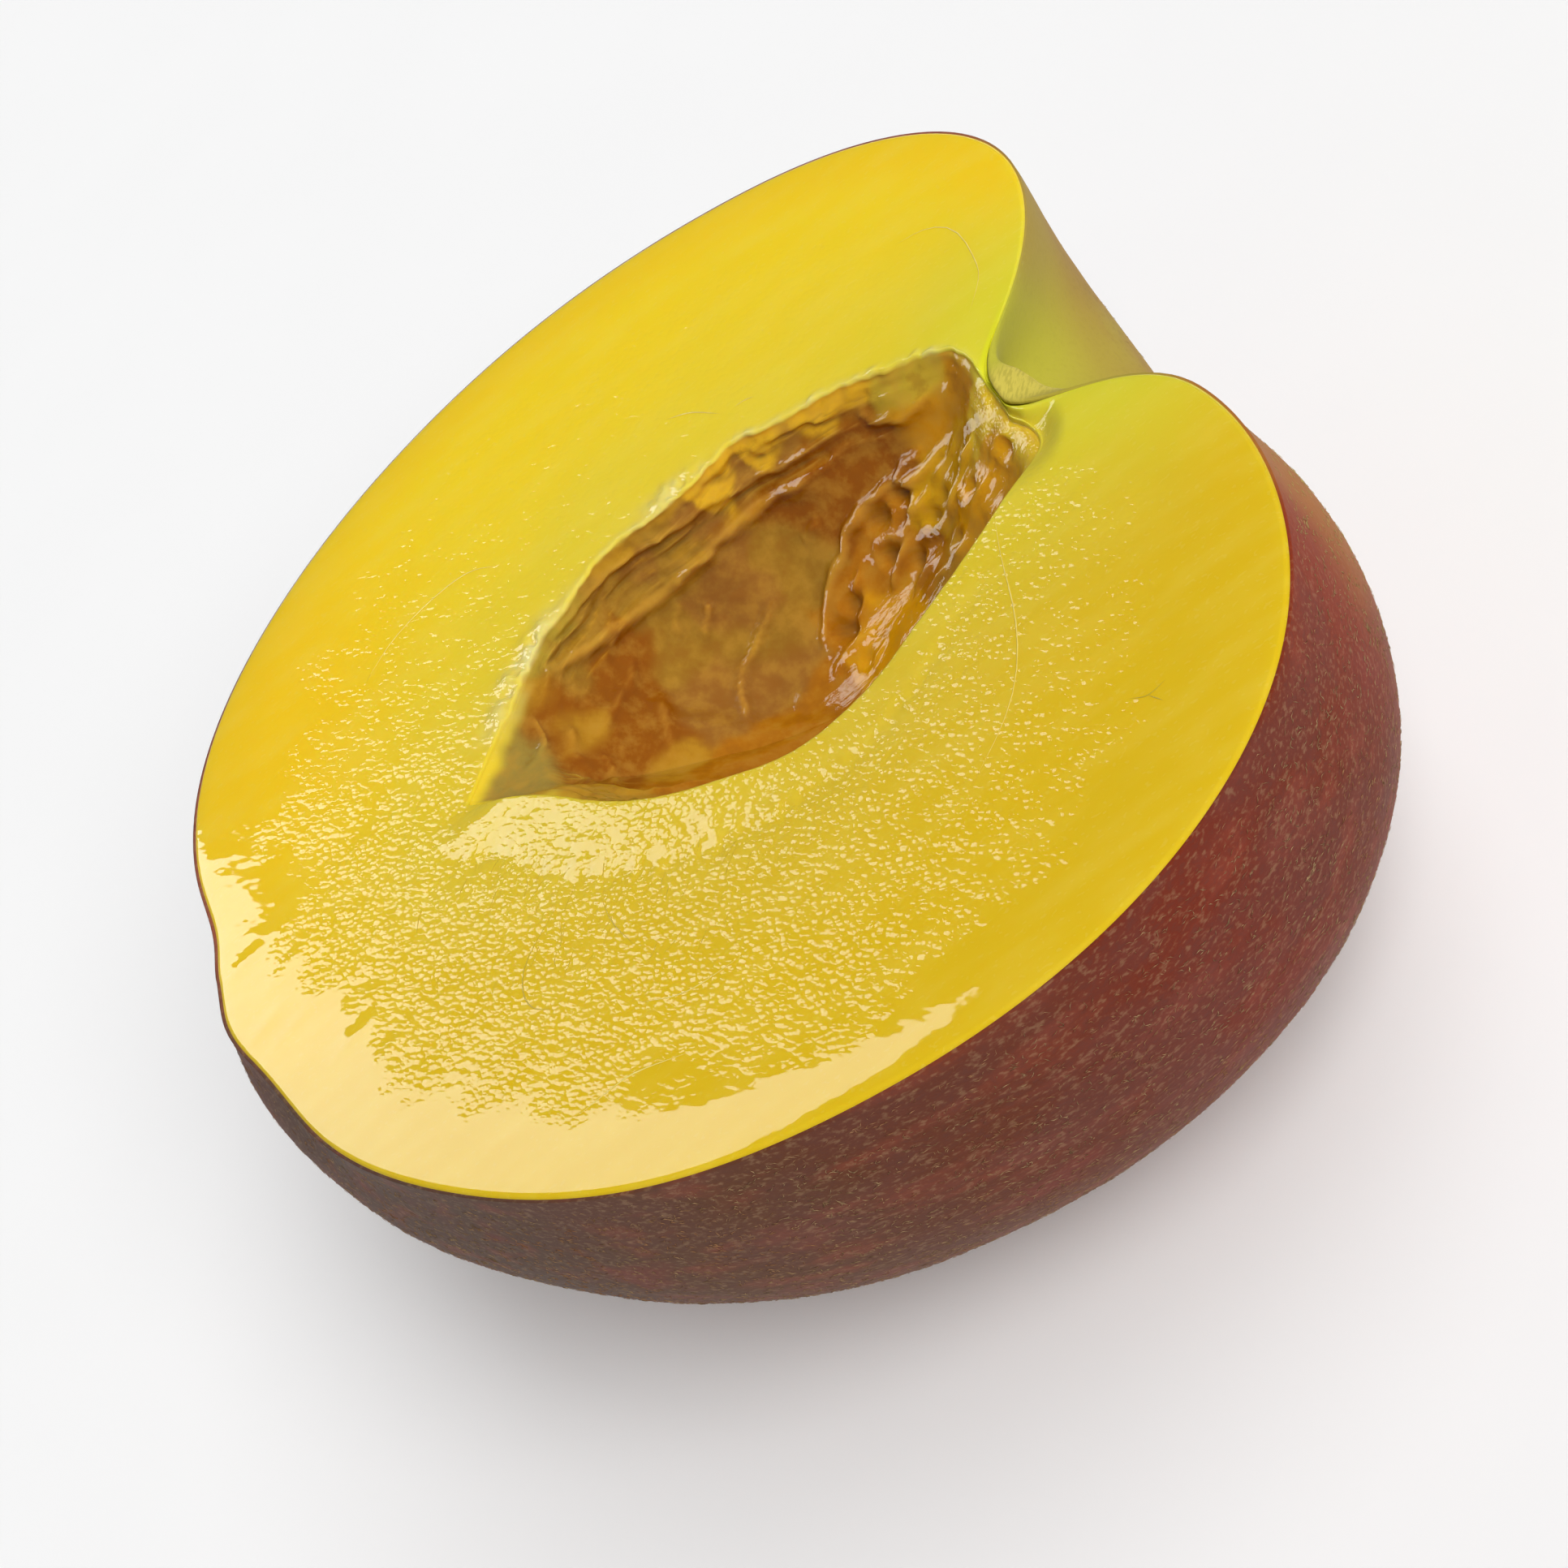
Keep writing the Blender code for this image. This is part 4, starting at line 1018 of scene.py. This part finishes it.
from_scar = np.hypot(SCAR_NARROW * (peel[:, 1] - SCAR_MIDDLE[0]), peel[:, 2] - SCAR_MIDDLE[1])
keep_numbers(skin, "scar", (1 - ease(1.6, 2.8, from_scar)) * (peel[:, 0] > 0))
wrap(skin, peel + (MIDDLE[0], MIDDLE[1], CUT_HEIGHT))
thick = skin.modifiers.new("peel", "SOLIDIFY")
thick.thickness = SKIN_THICKNESS * MM
thick.offset = -1
thick.use_rim = True
bpy.ops.object.modifier_apply(modifier=thick.name)

finish, tree, shader = new_finish("fuzzy_peach_skin", Roughness=0.85, Specular_IOR_Level=0.10,
                                  Sheen_Weight=0.06, Sheen_Roughness=0.45)
blush = ramp(tree, attribute(tree, "from_stem"), 24, 42)
spotted = plus(tree, times(tree, blush, 0.85), 0.15)
streaks = clouds(tree, 0.0022, (7, 1, 1), detail=3.0)
patches = clouds(tree, 0.0065, (1.5, 1, 1), detail=3.0)
speckle = clouds(tree, 0.00036, (1.6, 1, 1), detail=2.0, roughness=0.6)
skin_base = kept_tint(tree, "peel_tint")
for tone, most, value, low, high, where in (
        (colour(0.34, 0.070, 0.040), 0.30, streaks, 0.50, 0.72, blush),
        (colour(0.13, 0.050, 0.042), 0.28, patches, 0.52, 0.36, blush),
        (colour(0.26, 0.040, 0.030), 0.34, patches, 0.55, 0.70, blush),
        (colour(0.40, 0.25, 0.13), 0.30, speckle, 0.50, 0.72, spotted),
        (colour(0.10, 0.040, 0.030), 0.30, speckle, 0.50, 0.30, spotted)):
    cover = times(tree, ramp(tree, value, low, high, 0.0, most), where)
    skin_base = mix(tree, cover, skin_base, tone)
# The stem scar is pale and corky, with fine wrinkles across it.
wrinkles = clouds(tree, 0.00030, (0.5, 3.5, 1), detail=2.0, turn=-25)
scar_tone = lay_over(tree, colour(0.52, 0.43, 0.065),
                     ((colour(0.64, 0.53, 0.085), 1.0, wrinkles, 0.40, 0.55),))
skin_base = mix(tree, attribute(tree, "scar"), skin_base, scar_tone)
tree.links.new(skin_base, shader.inputs["Base Color"])
downy = node(tree, "Bump", {"Strength": 0.5, "Distance": 0.00006, "Height": speckle})
tree.links.new(downy.outputs[0], shader.inputs["Normal"])
give_finish(skin, finish)
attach(skin, "root")

# ---------------------------------------------------------------------------------------------
# Fuzz.  The short curled down of the peel, with a few star-shaped tufts and pale pores: fine
# slivers that lie flat on the skin, each a closed three-sided spindle bent at its middle.
# ---------------------------------------------------------------------------------------------
HAIR_COUNT, TUFT_COUNT, PORE_COUNT = 23000, 110, 900
HAIRS_IN_TUFT, TUFT_SPREAD = 7, 0.0035
TUFT_DOWN = (0.06, 0.95)    # how far below the cut the tufts lie, as an angle
HAIR_LENGTH, HAIR_WIDTH = (0.25, 0.72), (0.022, 0.038)
PORE_LENGTH, PORE_WIDTH = (0.07, 0.15), (0.035, 0.060)
FIRST_HAIR, LAST_HAIR = 0.035, 0.985    # how far below the cut the down lies, as a share
BARE_BASIN, BARE_FAR = 20, 17           # no down so near to the stem, and the far side's extra
BARE_FOOT = 0.4             # nor as low as this, where the fruit rests
HAIR_FLATNESS, HAIR_CLEARANCE = 0.7, 0.008
HAIR_BEND, HAIR_RAISED = 0.3, 0.05      # the most bend, as a share of the length, and the lift
COMBED_SHARE, COMBED_SPREAD = 0.5, 0.7  # how many point to the stem, and how loosely
NEARBY = 0.002              # angle to a spot nearby, to find the way out of the skin

clear_selection()
bpy.ops.mesh.primitive_cone_add(vertices=3, radius1=1, radius2=0, depth=1,
                                end_fill_type="NOTHING")
one_hair = bpy.context.object
bpy.ops.object.mode_set(mode="EDIT")
bpy.ops.mesh.select_all(action="DESELECT")
bpy.ops.mesh.select_non_manifold()
bpy.ops.mesh.extrude_region_move(TRANSFORM_OT_translate={"value": (0, 0, -1)})
bpy.ops.mesh.merge(type="CENTER")
bpy.ops.mesh.select_all(action="SELECT")
bpy.ops.mesh.normals_make_consistent(inside=False)
bpy.ops.object.mode_set(mode="OBJECT")
model = np.array([point.co for point in one_hair.data.vertices]) + (0, 0, 0.5)
model_faces = np.array([face.vertices for face in one_hair.data.polygons])

# Where the down grows: loose hairs and pores all over, and a few close tufts.
draw = np.random.default_rng(12)
tufts = draw.uniform((-math.pi, TUFT_DOWN[0]), (math.pi, TUFT_DOWN[1]), (TUFT_COUNT, 2))
tuft_hairs = np.repeat(tufts, HAIRS_IN_TUFT, axis=0)
tuft_hairs = tuft_hairs + draw.normal(0, TUFT_SPREAD, tuft_hairs.shape)
loose = HAIR_COUNT + PORE_COUNT
places = np.column_stack([draw.uniform(-math.pi, math.pi, loose),
                          np.arcsin(draw.uniform(FIRST_HAIR, LAST_HAIR, loose))])
places = np.concatenate([places, tuft_hairs])
pore = (np.arange(len(places)) // HAIR_COUNT == 1) & (np.arange(len(places)) < loose)
lean = np.degrees(np.arccos(np.cos(places[:, 1]) * np.cos(places[:, 0])))
bare_reach = BARE_BASIN + BARE_FAR * ease(2, 12, np.degrees(places[:, 0]))
bare = lean < bare_reach + draw.normal(0, 3, len(places))
bare |= body_point(places[:, 0], places[:, 1], 0.0)[:, 2] < BARE_FOOT - CUT_HEIGHT
places, pore = places[~bare], pore[~bare]
count = len(places)
around, down = places[:, 0], places[:, 1]

# Each one's way along the skin, mostly towards the stem, then its size and its bend.
spot = peel_point(around, down, np.ones(count))
step_round = body_point(around + NEARBY, down, 0.0) - body_point(around - NEARBY, down, 0.0)
step_down = body_point(around, down + NEARBY, 0.0) - body_point(around, down - NEARBY, 0.0)
out = np.cross(step_down, step_round)
out *= np.sign(np.sum(out * spot, axis=1))[:, None]
out /= np.linalg.norm(out, axis=1)[:, None]
stem_way = np.array((1.0, 0, 0)) - out * out[:, :1]
stem_way /= np.maximum(np.linalg.norm(stem_way, axis=1), 0.05)[:, None]
round_way = np.cross(out, stem_way)
combed = draw.random(count) < COMBED_SHARE
turn = np.where(combed, draw.normal(0, COMBED_SPREAD, count), draw.uniform(-3.14, 3.14, count))
way = stem_way * np.cos(turn)[:, None] + round_way * np.sin(turn)[:, None]
side = np.cross(out, way)
length = np.where(pore, draw.uniform(*PORE_LENGTH, count), draw.uniform(*HAIR_LENGTH, count))
thin = np.where(pore, draw.uniform(*PORE_WIDTH, count), draw.uniform(*HAIR_WIDTH, count))
bend = np.where(pore, 0.0, draw.uniform(-HAIR_BEND, HAIR_BEND, count)) * length
raised = np.where(pore, 0.0, draw.uniform(0.0, HAIR_RAISED, count))
x, y, z = model.T
hairs = (spot[:, None] + way[:, None] * (z * length[:, None] / 2)[..., None]
         + side[:, None] * (x * thin[:, None] + bend[:, None] * (1 - np.abs(z)))[..., None]
         + out[:, None] * (y * thin[:, None] * HAIR_FLATNESS + raised[:, None] * (1 + z) / 2
                           + HAIR_CLEARANCE)[..., None])
hairs = (hairs.reshape(-1, 3) + (MIDDLE[0], MIDDLE[1], CUT_HEIGHT)) * MM
faces = (model_faces[None] + len(model) * np.arange(count)[:, None, None]).reshape(-1, 3)
one_hair.data.clear_geometry()
one_hair.data.from_pydata(hairs.tolist(), [], faces.tolist())
one_hair.name = one_hair.data.name = "peach_fuzz"
fuzz = one_hair
bpy.ops.object.shade_smooth()
keep_numbers(fuzz, "from_stem", np.repeat(degrees_from_stem(spot), len(model)))
finish, tree, shader = new_finish("olive_tan_down", Roughness=0.8, Specular_IOR_Level=0.1)
down_shade = lay_over(tree, colour(0.21, 0.125, 0.060), (
    (colour(0.42, 0.28, 0.14), 1.0, clouds(tree, 0.0011), 0.35, 0.65),
    (colour(0.33, 0.13, 0.055), 0.6, clouds(tree, 0.0060), 0.45, 0.65),
    (colour(0.48, 0.36, 0.12), 1.0, attribute(tree, "from_stem"), 40, 22)))
tree.links.new(down_shade, shader.inputs["Base Color"])
give_finish(fuzz, finish)
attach(fuzz, "root")

# ---------------------------------------------------------------------------------------------
# Table, lights and camera.  A pale matt table under two broad soft lamps, a white softbox
# that the wet flesh reflects, and an even white room.
# ---------------------------------------------------------------------------------------------
TABLE_SIZE = 4
clear_selection()
bpy.ops.mesh.primitive_plane_add(size=TABLE_SIZE, location=(0, 0, 0))
table = bpy.context.object
table.name = "pale_table"
finish, tree, shader = new_finish("pale_matt_table", Roughness=1.0, Specular_IOR_Level=0.0)
paper = lay_over(tree, colour(0.944, 0.944, 0.944),
                 ((colour(0.95, 0.95, 0.95), 1.0, clouds(tree, 0.02), 0.3, 0.7),))
tree.links.new(paper, shader.inputs["Base Color"])
give_finish(table, finish)


def point_at(thing, target):
    thing.rotation_euler = (thing.location - Vector(target)).to_track_quat("Z", "Y").to_euler()


def from_bearing(bearing, height_angle, distance):
    """A place seen from the peach at a bearing from +X towards +Y and an angle above level."""
    level = math.cos(math.radians(height_angle)) * distance
    return (level * math.cos(math.radians(bearing)), level * math.sin(math.radians(bearing)),
            CUT_HEIGHT * MM + math.sin(math.radians(height_angle)) * distance)


# Two broad lamps, with bearing, height, strength and softness: one in front, one overhead.
for name, bearing, height_angle, energy, softness in (("front_lamp", -58, 47, 2.40, 40),
                                                      ("top_lamp", 5, 66, 0.84, 40)):
    bpy.ops.object.light_add(type="SUN", location=from_bearing(bearing, height_angle, 2))
    lamp = bpy.context.object
    lamp.name = name
    lamp.data.energy = energy
    lamp.data.angle = math.radians(softness)
    lamp.visible_glossy = False
    point_at(lamp, (0, 0, CUT_HEIGHT * MM))

BOX_BEARING, BOX_HEIGHT_ANGLE, BOX_DISTANCE = 130.2, 41.9, 3.0
BOX_WIDTH, BOX_HEIGHT, BOX_ROLL = 1.00, 1.672, 8.6
BOX_STRENGTH = 5.2          # how bright each part of the box looks
bpy.ops.object.light_add(type="AREA",
                         location=from_bearing(BOX_BEARING, BOX_HEIGHT_ANGLE, BOX_DISTANCE))
softbox = bpy.context.object
softbox.name = "softbox"
softbox.data.shape = "RECTANGLE"
softbox.data.size, softbox.data.size_y = BOX_WIDTH, BOX_HEIGHT
softbox.data.energy = BOX_STRENGTH * math.pi * BOX_WIDTH * BOX_HEIGHT
softbox.visible_diffuse = False
point_at(softbox, (0, 0, CUT_HEIGHT * MM))
softbox.rotation_euler.rotate_axis("Z", math.radians(BOX_ROLL))

ROOM_STRENGTH = 0.18
room = bpy.data.worlds.new("white_room")
room.use_nodes = True
walls = room.node_tree.nodes["Background"]
walls.inputs["Color"].default_value = (1, 1, 1, 1)
walls.inputs["Strength"].default_value = ROOM_STRENGTH
bpy.context.scene.world = room

CAMERA_PLACE = (0.04194, -0.14799, 0.16454)
CAMERA_RIGHT = Vector((0.7898, -0.2760, -0.5478))
CAMERA_UP = Vector((0.5743, 0.6465, 0.5022))
CAMERA_BACK = Vector((0.2156, -0.7112, 0.6691))
bpy.ops.object.camera_add()
camera = bpy.context.object
camera.name = "camera"
camera.matrix_world = Matrix.Translation(CAMERA_PLACE) @ Matrix(
    (CAMERA_RIGHT, CAMERA_UP, CAMERA_BACK)).transposed().to_4x4()
camera.data.lens = 74.97
camera.data.sensor_width = 36
camera.data.clip_start = 0.01
bpy.context.scene.camera = camera
bpy.context.scene.view_settings.view_transform = "Standard"
